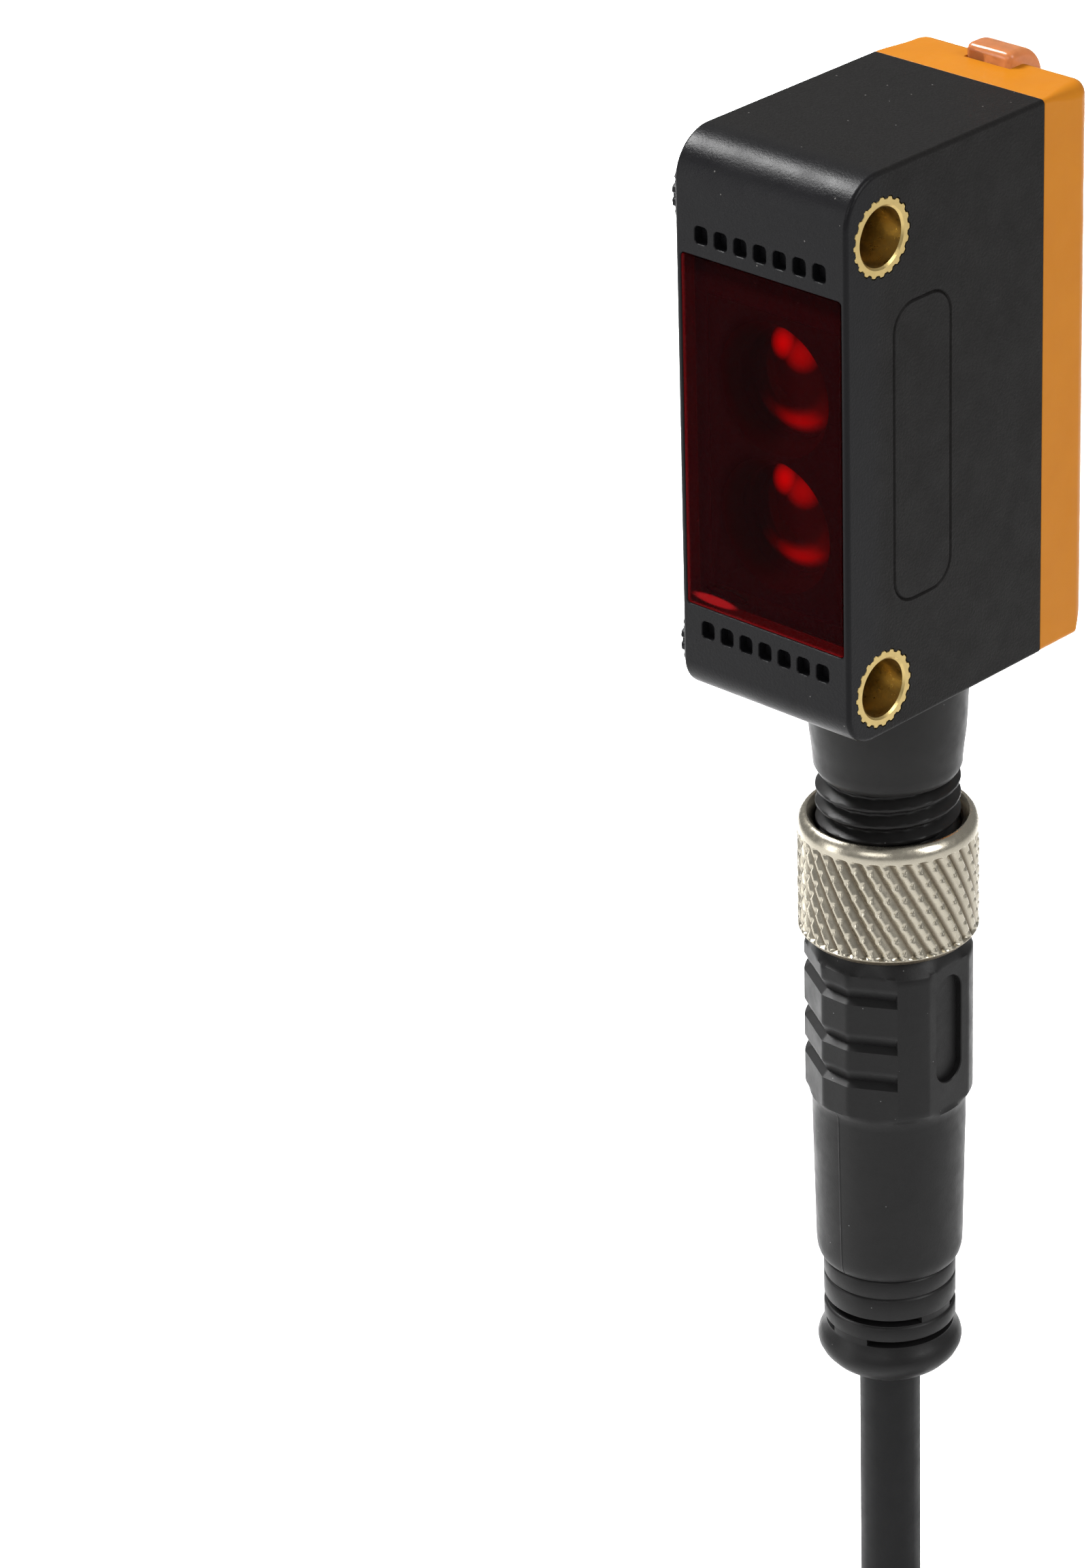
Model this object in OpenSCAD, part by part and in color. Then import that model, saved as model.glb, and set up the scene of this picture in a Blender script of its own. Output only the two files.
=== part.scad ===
// Miniature photoelectric sensor with M3 bushings and an M8 plug-in cordset.
// +X is the plain side, -X the raised side, -Y the optical face, +Y the rear, +Z up.
// The origin is midway between the two mounting bushings, on the middle plane.

/* [Housing] */
// Width of the housing, along X
body_w = 11.7; // [11.5:0.1:12]
// Height of the top face above the origin
body_top = 16.3; // [16.2:0.1:16.8]
// Depth of the bottom face below the origin
body_bottom = 15.4; // [15.4:0.1:15.8]
// Distance of the optical face in front of the bushings
face_y = 2.8; // [2.8:0.1:3]
// Distance of the housing's rear rim behind the bushings
rim_y = 12.9; // [12.9:0.1:13.4]
// Distance of the rear cover's back behind the bushings
back_y = 17; // [16.9:0.1:17.4]
// Wall thickness of the two shells
wall = 1.1; // [1:0.05:1.2]
// Radius of the top edge of the optical face
brow_r = 2.6; // [2:0.1:2.8]
// Radius of the bottom edge of the optical face
chin_r = 1.9; // [1.4:0.1:2.2]
// Radius of the rear cover's upright edges
cover_r = 1.2; // [1:0.1:1.5]
// Radius of the rear cover's top edge
cover_top_r = 0.8; // [0.5:0.1:1]

/* [Mounting bushings] */
// Distance between the two bushings
bushing_pitch = 25.4; // [25:0.1:25.4]
// Outer radius of a bushing
bushing_r = 2.2; // [2.1:0.05:2.25]
// Wall radius of the M3 thread's core hole
bushing_bore_r = 1.25; // [1.2:0.05:1.3]
// Radius of the plain entry of a bushing
bushing_entry_r = 1.62; // [1.55:0.01:1.7]
// Radius of the raised ring around a bushing
boss_r = 2.5; // [2.4:0.05:2.6]
// Height of the raised ring above the -X side
boss_rise = 0.5; // [0.3:0.1:0.7]

/* [Optics] */
// Width of the red window
window_w = 10.9; // [10.7:0.1:10.9]
// Height of the window's top edge
window_top = 9.9; // [9.7:0.1:9.9]
// Height of the window's bottom edge
window_bottom = -10.05; // [-10.1:0.05:-9.8]
// Thickness of the window
window_t = 1; // [0.8:0.1:1]
// Height of the upper lens's centre
upper_lens_z = 3.3; // [3.2:0.1:3.4]
// Height of the lower lens's centre
lower_lens_z = -4.4; // [-4.5:0.1:-4.3]
// Radius of a lens
lens_r = 3.1; // [2.9:0.05:3.1]

/* [Connector] */
// Distance of the connector's axis behind the bushings
plug_y = 7.1; // [7:0.05:7.2]
// Crest radius of the M8 male thread
thread_r = 3.98; // [3.9:0.01:4]
// Pitch of the M8 thread
thread_pitch = 1; // [1:0.05:1]
// Height of the male shell's lower end
shell_end = -28.9; // [-29:0.1:-28.7]
// Inner radius of the male shell
shell_bore_r = 2.95; // [2.9:0.05:3]
// Distance of each contact from the connector's axis
contact_ring_r = 1.5; // [1.4:0.05:1.55]
// Radius of a contact pin
pin_r = 0.5; // [0.4:0.05:0.5]

/* [Coupling nut] */
// Outer radius of the nut
nut_r = 5; // [4.9:0.05:5.1]
// Height of the nut's upper end
nut_top = -24.5; // [-24.7:0.1:-24.3]
// Height of the nut's lower end
nut_bottom = -31.75; // [-31.8:0.05:-31.7]
// Radius of the nut's threaded bore
nut_bore_r = 4.12; // [4.1:0.01:4.2]

/* [Plug and cable] */
// Height of the strain relief's lower end, where the cable comes out
plug_bottom = -60; // [-60.5:0.1:-59.8]
// Radius of the plug's grip
grip_r = 4.68; // [4.6:0.02:4.7]
// Diameter of the cable
cable_d = 3.5; // [3.4:0.1:3.6]
// Length of the straight runs of the folded cable
hank_run = 56; // [52:1:58]
// Length of the bare cores at the cable's far end
core_length = 25; // [20:1:30]

/* [Hidden] */
$fn = 48;
eps = 0.01;
fit = 0.02;                                // gap between two seated pieces of one body
half_w = body_w / 2;
inner_w = half_w - wall;
inner_top = body_top - wall;
inner_bottom = body_bottom - wall;
face_wall = 1.5;
window_z = (window_top + window_bottom) / 2;
window_h = window_top - window_bottom;
window_back = -face_y + window_t;
holder_half = 4.5;                         // half width of the lens holder
holder_top = 7.5;
holder_bottom = -8.9;
holder_back = 5.5;
holder_mouth_r = 3.75;                     // radius of the flared mouth in front of each lens
lens_back = 0.2;                           // plane on which the rims of the two lenses sit
optics_gap_y = holder_back + 0.05;
entry_depth = 2.7;                         // depth of the plain entry at both ends of a bushing
board_t = 0.8;
main_board_y = 9.6;
pin_board_z = -13;
pin_board_top = pin_board_z + board_t;
pin_top = -12;
pin_tip = -28;
contact_top = -23.4;
contact_r = 0.84;
contact_bore_r = 0.6;
contact_tail = -37;
flange_top = -29.6;
flange_bottom = -30.65;
flange_r = 3.95;
stem_r = 3.55;
stem_end = -36;
nut_lip = 0.9;
grip_top = -31.85;
grip_end = -41.6;
jacket_end = -46.2;
core_r = 0.6;
lens_proud = 0.8;                          // height of the indicator lens above the cover
lens_reach = 1.2;                          // distance of the indicator lens behind the cover
lens_half_w = 1.55;
lens_front_y = 15.3;
lens_low_z = 12.6;
strand = cable_d + 0.1;                    // spacing of neighbouring strands in the hank
hank_fold_r = 11;                          // centreline radius of the innermost fold
hank_layers = 3;
hank_crown = -84;                          // height of the folded cable's upper end
hank_flat = hank_run / 14;                 // half length of the even part under the tie
hank_waist = hank_layers * strand + 0.3;   // half width where the tie grips
hank_half_w = hank_fold_r + (hank_layers - 1) * strand + cable_d / 2 + 0.2;
hank_half_t = 2.5 * strand + 0.1;
hank_y = plug_y + 2 * strand;              // the cable comes straight down along the hank's front
hank_mid = hank_crown - hank_half_w - hank_run / 2;
tie_h = 7;
tie_t = 1;
bare_end = hank_mid - hank_run / 2 - hank_half_w;
cable_route = [for (z = [plug_bottom, -66, -72, -78, hank_crown]) [0, plug_y, z]];  // straight down

// A box from its lowest to its highest corner.
module span(low, high) {
    translate(low) cube(high - low);
}

// A cylinder along +X between two places.
module bar_x(r, x0, x1, y, z) {
    translate([x0, y, z]) rotate([0, 90, 0]) cylinder(r = r, h = x1 - x0);
}

// A cylinder along +Y between two places.
module bar_y(r, y0, y1, x, z) {
    translate([x, y0, z]) rotate([-90, 0, 0]) cylinder(r = r, h = y1 - y0);
}

// Anything turned about the connector's axis, drawn as radius against height.
module turned(outline) {
    translate([0, plug_y, 0]) rotate_extrude() polygon(outline);
}

// A tube about the connector's axis.
module sleeve(r_in, r_out, low, high) {
    turned([[r_in, low], [r_out, low], [r_out, high], [r_in, high]]);
}

// A round rod along the connector's direction, offset from its axis.
module rod(r, low, high, offset_xy = [0, 0]) {
    translate([offset_xy[0], plug_y + offset_xy[1], low]) cylinder(r = r, h = high - low);
}

// Repeats its children at both bushings.
module at_bushings() {
    for (side = [-1, 1]) translate([0, 0, side * bushing_pitch / 2]) children();
}

// Places of the four contacts about the connector's axis.
contact_places = [for (a = [45:90:315]) contact_ring_r * [cos(a), sin(a)]];

// Side outline of the front housing, in Y and Z, extruded along X.
module front_block() {
    brow = [for (a = [90:7.5:180]) [brow_r - face_y + brow_r * cos(a), body_top - brow_r + brow_r * sin(a)]];
    chin = [for (a = [180:7.5:270]) [chin_r - face_y + chin_r * cos(a), chin_r - body_bottom + chin_r * sin(a)]];
    outline = concat(brow, chin, [[rim_y, -body_bottom], [rim_y, body_top]]);
    translate([-half_w, 0, 0]) rotate([90, 0, 90]) linear_extrude(body_w) polygon(outline);
}

// One row of seven square pockets in the optical face.
module pocket_row(z) {
    for (i = [-3:3]) {
        x = i * 1.34;
        span([x - 0.45, -face_y - eps, z - 0.5], [x + 0.45, -face_y + 0.6, z + 0.5]);
    }
}

// Fine groove that frames a plain panel on the +X side.
module panel_groove() {
    translate([half_w - 0.12, 3.15, 0.1]) rotate([90, 0, 90]) linear_extrude(1) difference() {
        offset(r = 1.5) square([1.5, 13.8], center = true);
        offset(r = 1.38) square([1.5, 13.8], center = true);
    }
}

module housing() {
    color("#262627") difference() {
        union() {
            difference() {
                front_block();
                span([-inner_w, -face_y + face_wall, -inner_bottom], [inner_w, rim_y + 1, inner_top]);
            }
            intersection() {
                front_block();
                at_bushings() bar_x(2.9, -half_w, half_w, 0, 0);
            }
            at_bushings() bar_x(boss_r, -half_w - boss_rise, -half_w + 1, 0, 0);
        }
        at_bushings() bar_x(bushing_r + 0.03, -half_w - 1, half_w + 1, 0, 0);
        span([-window_w / 2 - 0.03, -face_y - 1, window_bottom - 0.03],
            [window_w / 2 + 0.03, window_back, window_top + 0.03]);
        span([-holder_half - 0.05, -face_y - 1, holder_bottom - 0.05],
            [holder_half + 0.05, 0, holder_top + 0.05]);
        pocket_row(11.15);
        pocket_row(-11.35);
        panel_groove();
        rod(3.58, -body_bottom - 1, -inner_bottom + 1);
    }
}

// Solid form of the rear cover, shrunk by an inset on every outer side.
module cover_form(inset) {
    r = max(cover_r - inset, 0.2);
    top_r = max(cover_top_r - inset, 0.2);
    w = half_w - inset;
    back = back_y - inset;
    top = body_top - inset;
    bottom = -body_bottom + inset;
    plan_right = [for (a = [0:10:90]) [w - r + r * cos(a), back - r + r * sin(a)]];
    plan_left = [for (a = [90:10:180]) [-w + r + r * cos(a), back - r + r * sin(a)]];
    side_top = [for (a = [0:10:90]) [back - top_r + top_r * cos(a), top - top_r + top_r * sin(a)]];
    slant = [[rim_y, bottom], [back - 1, bottom], [back, bottom + 2.5]];
    intersection() {
        translate([0, 0, -20]) linear_extrude(40)
            polygon(concat([[-w, rim_y], [w, rim_y]], plan_right, plan_left));
        translate([-10, 0, 0]) rotate([90, 0, 90]) linear_extrude(20)
            polygon(concat(slant, side_top, [[rim_y, top]]));
    }
}

module rear_cover() {
    color("#e39a33") difference() {
        cover_form(0);
        translate([0, -eps, 0]) cover_form(wall);
        span([-lens_half_w - fit, lens_front_y - fit, lens_low_z - fit], [lens_half_w + fit, 20, 20]);
    }
}

module cover_gasket() {
    color("#1c1c1c") difference() {
        span([-inner_w, rim_y - 0.8, -inner_bottom], [inner_w, rim_y + 0.6, inner_top]);
        span([-inner_w + 0.5, 0, -inner_bottom + 0.5], [inner_w - 0.5, 20, inner_top - 0.5]);
    }
}

// Quarter arch of the light pipe, as a profile in Y and Z, grown past the cover's top and back.
module arch_profile(up, out) {
    r = max(cover_r + up, 0.2);
    y = back_y + out - r;
    z = body_top + up - r;
    curve = [for (a = [0:7.5:90]) [y + r * cos(a), z + r * sin(a)]];
    polygon(concat([[0, -5], [back_y + out, -5]], curve, [[0, body_top + up]]));
}

module indicator_lens() {
    color("#e8c4b8", 0.7) translate([-lens_half_w, 0, 0]) rotate([90, 0, 90])
        linear_extrude(2 * lens_half_w) intersection() {
            difference() {
                arch_profile(lens_proud, lens_reach);
                arch_profile(-wall, -wall);
            }
            translate([lens_front_y, lens_low_z]) square(20);
        }
}

module front_window() {
    color("#3a0206") span([-window_w / 2, -face_y, window_bottom], [window_w / 2, window_back, window_top]);
}

// Plano-convex lens with its crown towards -Y.
module lens(z) {
    crown = [for (a = [0:5:30]) [lens_r * sin(a) / sin(30), 0.5 + (cos(a) - cos(30)) * lens_r * 1.1]];
    translate([0, lens_back, z]) rotate([90, 0, 0]) rotate_extrude() polygon(concat([[0, 0], [lens_r, 0]],
        [for (i = [6:-1:0]) crown[i]]));
}

module upper_lens() {
    color("#c01018", 0.8) lens(upper_lens_z);
}

module lower_lens() {
    color("#c01018", 0.8) lens(lower_lens_z);
}

module lens_holder() {
    color("#151515") difference() {
        span([-holder_half, window_back, holder_bottom], [holder_half, holder_back, holder_top]);
        for (z = [upper_lens_z, lower_lens_z]) {
            translate([0, window_back - eps, z]) rotate([-90, 0, 0])
                cylinder(r1 = holder_mouth_r, r2 = lens_r + fit, h = 1);
            bar_y(lens_r + fit, window_back - 1, lens_back, 0, z);
            bar_y(2.6, -0.2, holder_back + 1, 0, z);
        }
    }
}

module optics_board() {
    color("#1f5a33") span([-holder_half, optics_gap_y, holder_bottom],
        [holder_half, optics_gap_y + board_t, holder_top]);
}

module emitter_led() {
    color("#d8d2c0") union() {
        bar_y(1.5, optics_gap_y - 0.6, optics_gap_y, 0, lower_lens_z);
        bar_y(1, optics_gap_y - 1.6, optics_gap_y - 0.6, 0, lower_lens_z);
    }
}

module receiver_chip() {
    color("#303036") span([-1.3, optics_gap_y - 0.8, upper_lens_z - 1.3],
        [1.3, optics_gap_y, upper_lens_z + 1.3]);
}

module main_board() {
    color("#1f5a33") span([-holder_half, main_board_y, pin_board_top],
        [holder_half, main_board_y + board_t, 14.6]);
}

module controller_chip() {
    color("#1b1b1d") span([-2, main_board_y - 0.9, 4], [2, main_board_y, 8]);
}

module driver_chip() {
    color("#1b1b1d") span([-1.5, main_board_y - 1, -8.5], [1.5, main_board_y, -6]);
}

// Rows of small ceramic capacitors on both faces of the main board.
module board_capacitors() {
    color("#b59a6a") for (i = [0:4]) {
        z = -10.6 + 5 * i;
        span([2.9, main_board_y - 0.6, z], [3.7, main_board_y, z + 1.6]);
        span([-3.7, main_board_y + board_t, z], [-2.9, main_board_y + board_t + 0.6, z + 1.6]);
    }
}

module board_header() {
    color("#202020") span([-2.5, optics_gap_y + board_t, -1.5], [2.5, main_board_y, 0.5]);
}

module indicator_leds() {
    color("#f2e7b0") for (x = [-0.8, 0.8])
        span([x - 0.5, main_board_y + board_t, 13], [x + 0.5, main_board_y + board_t + 0.7, 14.4]);
}

module pin_board() {
    color("#1f5a33") difference() {
        span([-4.3, 3.9, pin_board_z], [4.3, main_board_y + board_t, pin_board_top]);
        for (p = contact_places) rod(pin_r + fit, -20, 0, p);
    }
}

module threaded_bushings() {
    color("#caa64e") at_bushings() difference() {
        bar_x(bushing_r, -half_w - boss_rise, half_w, 0, 0);
        bar_x(bushing_bore_r, -half_w - 2, half_w + 2, 0, 0);
        bar_x(bushing_entry_r, half_w - entry_depth, half_w + 1, 0, 0);
        bar_x(bushing_entry_r, -half_w - 2, -half_w - boss_rise + entry_depth, 0, 0);
    }
}

// Outline of the male thread's ridges, from the shell's end upwards.
function ridge(k) = let (low = shell_end + 0.3 + k * thread_pitch)
    [[thread_r - 0.5, low], [thread_r - 0.5, low + 0.15], [thread_r, low + 0.5], [thread_r, low + 0.62]];

module connector_shell() {
    ridges = [for (k = [0:5]) each ridge(k)];
    taper = [[3.5, -22], [3.85, -21.9], [4.1, -21.4], [4.35, -18.6], [4.5, -body_bottom]];
    seal_groove = [[4.25, -body_bottom], [4.25, -body_bottom - 0.4], [3.75, -body_bottom - 0.4],
        [3.75, -body_bottom]];
    inner_end = [[3.56, -body_bottom], [3.56, -13.5], [shell_bore_r, -13.5]];
    mouth = [[shell_bore_r, shell_end], [3.3, shell_end]];
    color("#222223") turned(concat(mouth, ridges, taper, seal_groove, inner_end));
}

module neck_seal() {
    color("#111111") sleeve(3.77, 4.23, -body_bottom - 0.38, -body_bottom);
}

module retaining_ring() {
    color("#a9a9a4") sleeve(3.58, 4.3, -inner_bottom, -inner_bottom + 0.5);
}

module pin_carrier() {
    color("#2b2b2d") difference() {
        rod(shell_bore_r - fit, -22, -13.2);
        for (p = contact_places) rod(pin_r + fit, -30, 0, p);
    }
}

module contact_pins() {
    color("#d9b45a") for (p = contact_places) rod(pin_r, pin_tip, pin_top, p);
}

module coupling_nut() {
    lip = [[nut_bore_r, nut_bottom + nut_lip], [3.75, nut_bottom + nut_lip], [3.75, nut_bottom]];
    side = [[4.5, nut_bottom], [nut_r, nut_bottom + 0.45], [nut_r, nut_top - 0.7]];
    shoulder = [[nut_r - 0.13, nut_top - 0.3], [nut_r - 0.4, nut_top], [4.45, nut_top]];
    color("#beb7a5") turned(concat(lip, side, shoulder, [[nut_bore_r, nut_top - 0.4]]));
}

module plug_overmould() {
    rib_tops = [-34.2, -37.1, -39.4];
    grip = [[stem_r + fit, grip_top], [4.1, grip_top], [grip_r, grip_top - 0.9], [grip_r, grip_end],
        [4.3, grip_end - 0.6]];
    stem = [[4.13, -51.4], [3.95, -52.1], [3.7, -52.5]];
    rings = [[3.74, -53.3], [3.6, -53.7], [3.74, -54.6], [3.6, -55.4], [3.74, -56.2], [3.6, -56.8]];
    bell = [[4.08, -57.8], [4.05, -58.3], [3.4, -59.1], [2.2, -59.9], [2, plug_bottom]];
    inside = [[cable_d / 2 + fit, plug_bottom], [cable_d / 2 + fit, jacket_end], [2.8, jacket_end],
        [2.8, stem_end - 0.1], [stem_r + fit, stem_end - 0.1]];
    color("#232325") difference() {
        turned(concat(grip, stem, rings, bell, inside));
        // The flat with the key slot faces +X.
        span([4.4, 0, grip_end - 0.6], [6, 15, grip_top + 1]);
        translate([4, plug_y, -36.7]) rotate([90, 0, 90]) linear_extrude(2) union() {
            square([2.1, 4.6], center = true);
            for (s = [-1, 1]) translate([0, s * 2.3]) circle(r = 1.05);
        }
        // Finger steps run round the other sides of the grip.
        difference() {
            for (z = rib_tops)
                turned([[grip_r - 0.4, z], [grip_r + 1, z], [grip_r + 1, z + 1], [grip_r, z + 0.9]]);
            span([3.2, 0, -45], [7, 15, -30]);
        }
    }
}

module contact_carrier() {
    color("#6d5340") difference() {
        turned([[0, stem_end], [stem_r, stem_end], [stem_r, flange_bottom], [flange_r, flange_bottom],
            [flange_r, flange_top], [2.8, flange_top], [2.8, -23.1], [0, -23.1]]);
        for (p = contact_places) rod(contact_r + fit, -40, 0, p);
    }
}

module socket_contacts() {
    color("#d9b45a") for (p = contact_places) difference() {
        rod(contact_r, contact_tail, contact_top, p);
        rod(contact_bore_r, -30, 0, p);
    }
}

module plug_oring() {
    color("#101010") translate([0, plug_y, flange_top + 0.32]) rotate_extrude()
        translate([3.2, 0]) circle(r = 0.3);
}

module plug_cores() {
    color("#8a8f94") for (p = contact_places) rod(core_r, jacket_end, contact_tail, p);
}

module cable_tail() {
    color("#1d1d1f") rod(cable_d / 2, plug_bottom, jacket_end);
}

// Sweep of a ring of points along a route: rings, then side faces, then two end caps.
module swept_tube(route, r, sides) {
    n = len(route);
    heading = [for (i = [0:n - 1]) let (d = route[min(i + 1, n - 1)] - route[max(i - 1, 0)]) d / norm(d)];
    points = [for (i = [0:n - 1]) let (across = cross([0, 1, 0], heading[i]) / norm(cross([0, 1, 0], heading[i])),
        up = cross(heading[i], across)) for (k = [0:sides - 1]) let (a = 360 * k / sides)
        route[i] + r * (across * cos(a) + up * sin(a))];
    walls = [for (i = [0:n - 2], k = [0:sides - 1]) let (a = i * sides + k, b = i * sides + (k + 1) % sides)
        [a, b, b + sides, a + sides]];
    caps = [[for (k = [sides - 1:-1:0]) k], [for (k = [0:sides - 1]) (n - 1) * sides + k]];
    polyhedron(points, concat(walls, caps), convexity = 4);
}

module cable() {
    color("#1d1d1f") swept_tube(cable_route, cable_d / 2, 8);
}

// Half width of the hank at a distance from its middle: even at the tie, full width at the folds.
function hank_half(t) = let (s = min(max(abs(t) - hank_flat, 0) / (hank_run / 2 - hank_flat), 1))
    hank_waist + (hank_half_w - hank_waist) * s * s * (3 - 2 * s);

module cable_hank() {
    side = [for (i = [-7:7]) let (t = i * hank_flat) [hank_half(t), t]];
    top_fold = [for (a = [15:15:165]) [hank_half_w * cos(a), hank_run / 2 + hank_half_w * sin(a)]];
    mirrored = [for (i = [7:-1:-7]) let (t = i * hank_flat) [-hank_half(t), t]];
    low_fold = [for (a = [195:15:345]) [hank_half_w * cos(a), -hank_run / 2 + hank_half_w * sin(a)]];
    color("#1d1d1f") translate([0, hank_y + hank_half_t, hank_mid]) rotate([90, 0, 0])
        linear_extrude(2 * hank_half_t) polygon(concat(side, top_fold, mirrored, low_fold));
}

module hank_tie() {
    inner = [hank_waist + 0.2, hank_half_t + 0.05];
    color("#2a2a2c") translate([0, hank_y, hank_mid]) difference() {
        cube([2 * (inner[0] + tie_t), 2 * (inner[1] + tie_t), tie_h], center = true);
        cube([2 * inner[0], 2 * inner[1], tie_h + 1], center = true);
    }
}

// One bare core, fanned out below the jacket's end.
module core(x_side, y_side, lean) {
    translate([x_side * 0.65, hank_y + 2 * strand + y_side * 0.65, bare_end - 0.1])
        rotate([0, lean, 0]) translate([0, 0, -core_length]) cylinder(r = core_r, h = core_length);
}

module core_brown() {
    color("#6b3f22") core(-1, -1, 9);
}

module core_white() {
    color("#e9e7e2") core(-1, 1, 3);
}

module core_blue() {
    color("#2f5f9e") core(1, 1, -3);
}

module core_black() {
    color("#161616") core(1, -1, -9);
}

housing();
rear_cover();
cover_gasket();
indicator_lens();
front_window();
upper_lens();
lower_lens();
lens_holder();
optics_board();
emitter_led();
receiver_chip();
main_board();
controller_chip();
driver_chip();
board_capacitors();
board_header();
indicator_leds();
pin_board();
threaded_bushings();
connector_shell();
neck_seal();
retaining_ring();
pin_carrier();
contact_pins();
coupling_nut();
plug_overmould();
contact_carrier();
socket_contacts();
plug_oring();
plug_cores();
cable_tail();
cable();
cable_hank();
hank_tie();
core_brown();
core_white();
core_blue();
core_black();
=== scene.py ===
"""Looks of a miniature photoelectric sensor and its M8 cordset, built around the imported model.

Shapes are drawn in millimetres in the part's own frame and scaled to metres when each piece is placed.
"""
from math import cos, degrees, dist, hypot, pi, radians, sin, sqrt

import bmesh
import bpy
from mathutils import Matrix, Vector


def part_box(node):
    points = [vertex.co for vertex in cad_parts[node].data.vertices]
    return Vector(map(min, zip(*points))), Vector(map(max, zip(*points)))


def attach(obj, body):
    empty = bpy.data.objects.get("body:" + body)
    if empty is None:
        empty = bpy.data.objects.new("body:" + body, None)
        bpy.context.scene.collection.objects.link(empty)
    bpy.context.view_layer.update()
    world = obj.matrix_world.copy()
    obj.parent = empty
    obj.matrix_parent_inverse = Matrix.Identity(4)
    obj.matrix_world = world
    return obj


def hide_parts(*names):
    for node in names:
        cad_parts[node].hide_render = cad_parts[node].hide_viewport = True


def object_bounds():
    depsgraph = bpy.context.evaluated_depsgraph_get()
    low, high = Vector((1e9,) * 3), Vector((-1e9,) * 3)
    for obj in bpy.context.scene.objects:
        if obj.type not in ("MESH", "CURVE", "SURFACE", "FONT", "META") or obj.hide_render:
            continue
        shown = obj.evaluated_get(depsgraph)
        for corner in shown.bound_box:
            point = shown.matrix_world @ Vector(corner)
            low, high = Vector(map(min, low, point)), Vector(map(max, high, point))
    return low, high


MM = 0.001
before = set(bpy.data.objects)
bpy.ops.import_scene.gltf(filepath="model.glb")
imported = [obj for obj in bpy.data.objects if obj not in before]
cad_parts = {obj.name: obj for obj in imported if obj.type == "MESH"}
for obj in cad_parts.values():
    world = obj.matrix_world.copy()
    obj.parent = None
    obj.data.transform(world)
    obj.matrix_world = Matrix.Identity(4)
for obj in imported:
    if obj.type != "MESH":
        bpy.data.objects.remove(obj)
cad_bounds = [list(corner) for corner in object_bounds()]


# ---- sizes, in millimetres
def box_mm(node):
    """Lowest and highest corners of a CAD node, in millimetres."""
    low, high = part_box(node)
    return low / MM, high / MM


HOUSING_LOW, HOUSING_HIGH = box_mm("housing")
HALF_W = HOUSING_HIGH.x
BOSS_X = HOUSING_LOW.x
FACE_Y = HOUSING_LOW.y
RIM_Y = HOUSING_HIGH.y
TOP = HOUSING_HIGH.z
BOTTOM = HOUSING_LOW.z
BACK_Y = box_mm("rear_cover")[1].y
WINDOW_LOW, WINDOW_HIGH = box_mm("front_window")
HOLDER_LOW, HOLDER_HIGH = box_mm("lens_holder")
PIPE_LOW, PIPE_HIGH = box_mm("indicator_lens")
NUT_LOW, NUT_HIGH = box_mm("coupling_nut")
PLUG_LOW, PLUG_HIGH = box_mm("plug_overmould")
SHELL_LOW, SHELL_HIGH = box_mm("connector_shell")
PLUG_Y = (NUT_LOW.y + NUT_HIGH.y) / 2
NUT_R = NUT_HIGH.x
BUSHING_R = box_mm("threaded_bushings")[1].y
BUSHING_Z = box_mm("threaded_bushings")[1].z - BUSHING_R

BROW_R = 2.6  # top edge of the optical face
CHIN_R = 1.9  # bottom edge of the optical face
SIDE_EDGE_R = 0.25  # edges of the two flat sides
WALL = 1.1  # thickness of housing and cover
COVER_R = 1.2  # upright rear edges of the cover
COVER_TOP_R = 0.8  # top rear edge of the cover
COVER_FOOT = 1.0  # length of the slanted part of the cover's lower edge
COVER_FOOT_SLOPE = 2.5
PIPE_PROUD = 0.8  # height of the light pipe above the cover
POCKET_ROWS = 11.15, -11.35  # heights of the two rows of small pockets in the optical face
POCKET_PITCH = 1.34
BARREL_R = 2.7  # plastic round a bushing, inside the housing
BUSHING_TEETH = 20
BUSHING_TOOTH = 0.13  # depth of the gaps between its teeth
BUSHING_ENTRY_R = 1.62
BUSHING_ENTRY = 2.7  # depth of the plain entry at both ends
BUSHING_CORE_R = 1.25
SHELL_BORE_R = 2.95
SHELL_SEAT_R = 3.56  # part of the connector that sits in the housing
THREAD_R = 3.98
THREAD_PITCH = 1.0
THREAD_TOP = -21.95  # where the male thread ends under the neck
NUT_BORE_R = 4.12
GRIP_R = 4.68
GRIP_END = -41.65  # lower end of the grip's flats
CABLE_D = 3.5
CABLE_EXIT_R = CABLE_D / 2 + 0.02

# The folded cable, as in the part's own source.
STRAND = CABLE_D + 0.1  # spacing of neighbouring strands
FOLD_R = 11.0  # centreline radius of the innermost fold
HANK_RUN = 56.0  # length of the straight runs
HANK_FLAT = HANK_RUN / 14  # half length of the even part under the tie
HANK_CROWN = -84.0  # upper end of the folded cable
HANK_LAYERS = 3
HANK_Y = PLUG_Y + 2 * STRAND
HANK_HALF_W = FOLD_R + (HANK_LAYERS - 1) * STRAND + CABLE_D / 2 + 0.2
HANK_HALF_T = 2.5 * STRAND + 0.1
HANK_WAIST = HANK_LAYERS * STRAND + 0.3
HANK_MID = HANK_CROWN - HANK_HALF_W - HANK_RUN / 2
CABLE_LEAD = 24.0  # how far below the crown the straight start runs
ARC_STEPS = 18  # steps in each fold and each run of the cable
CORE_R = 0.6
CORE_LENGTH = 25.0
CORE_BARE = 5.0  # stripped end of each core


def placed(name, data):
    """A new object, linked into the scene."""
    obj = bpy.data.objects.new(name, data)
    bpy.context.scene.collection.objects.link(obj)
    return obj


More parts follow.
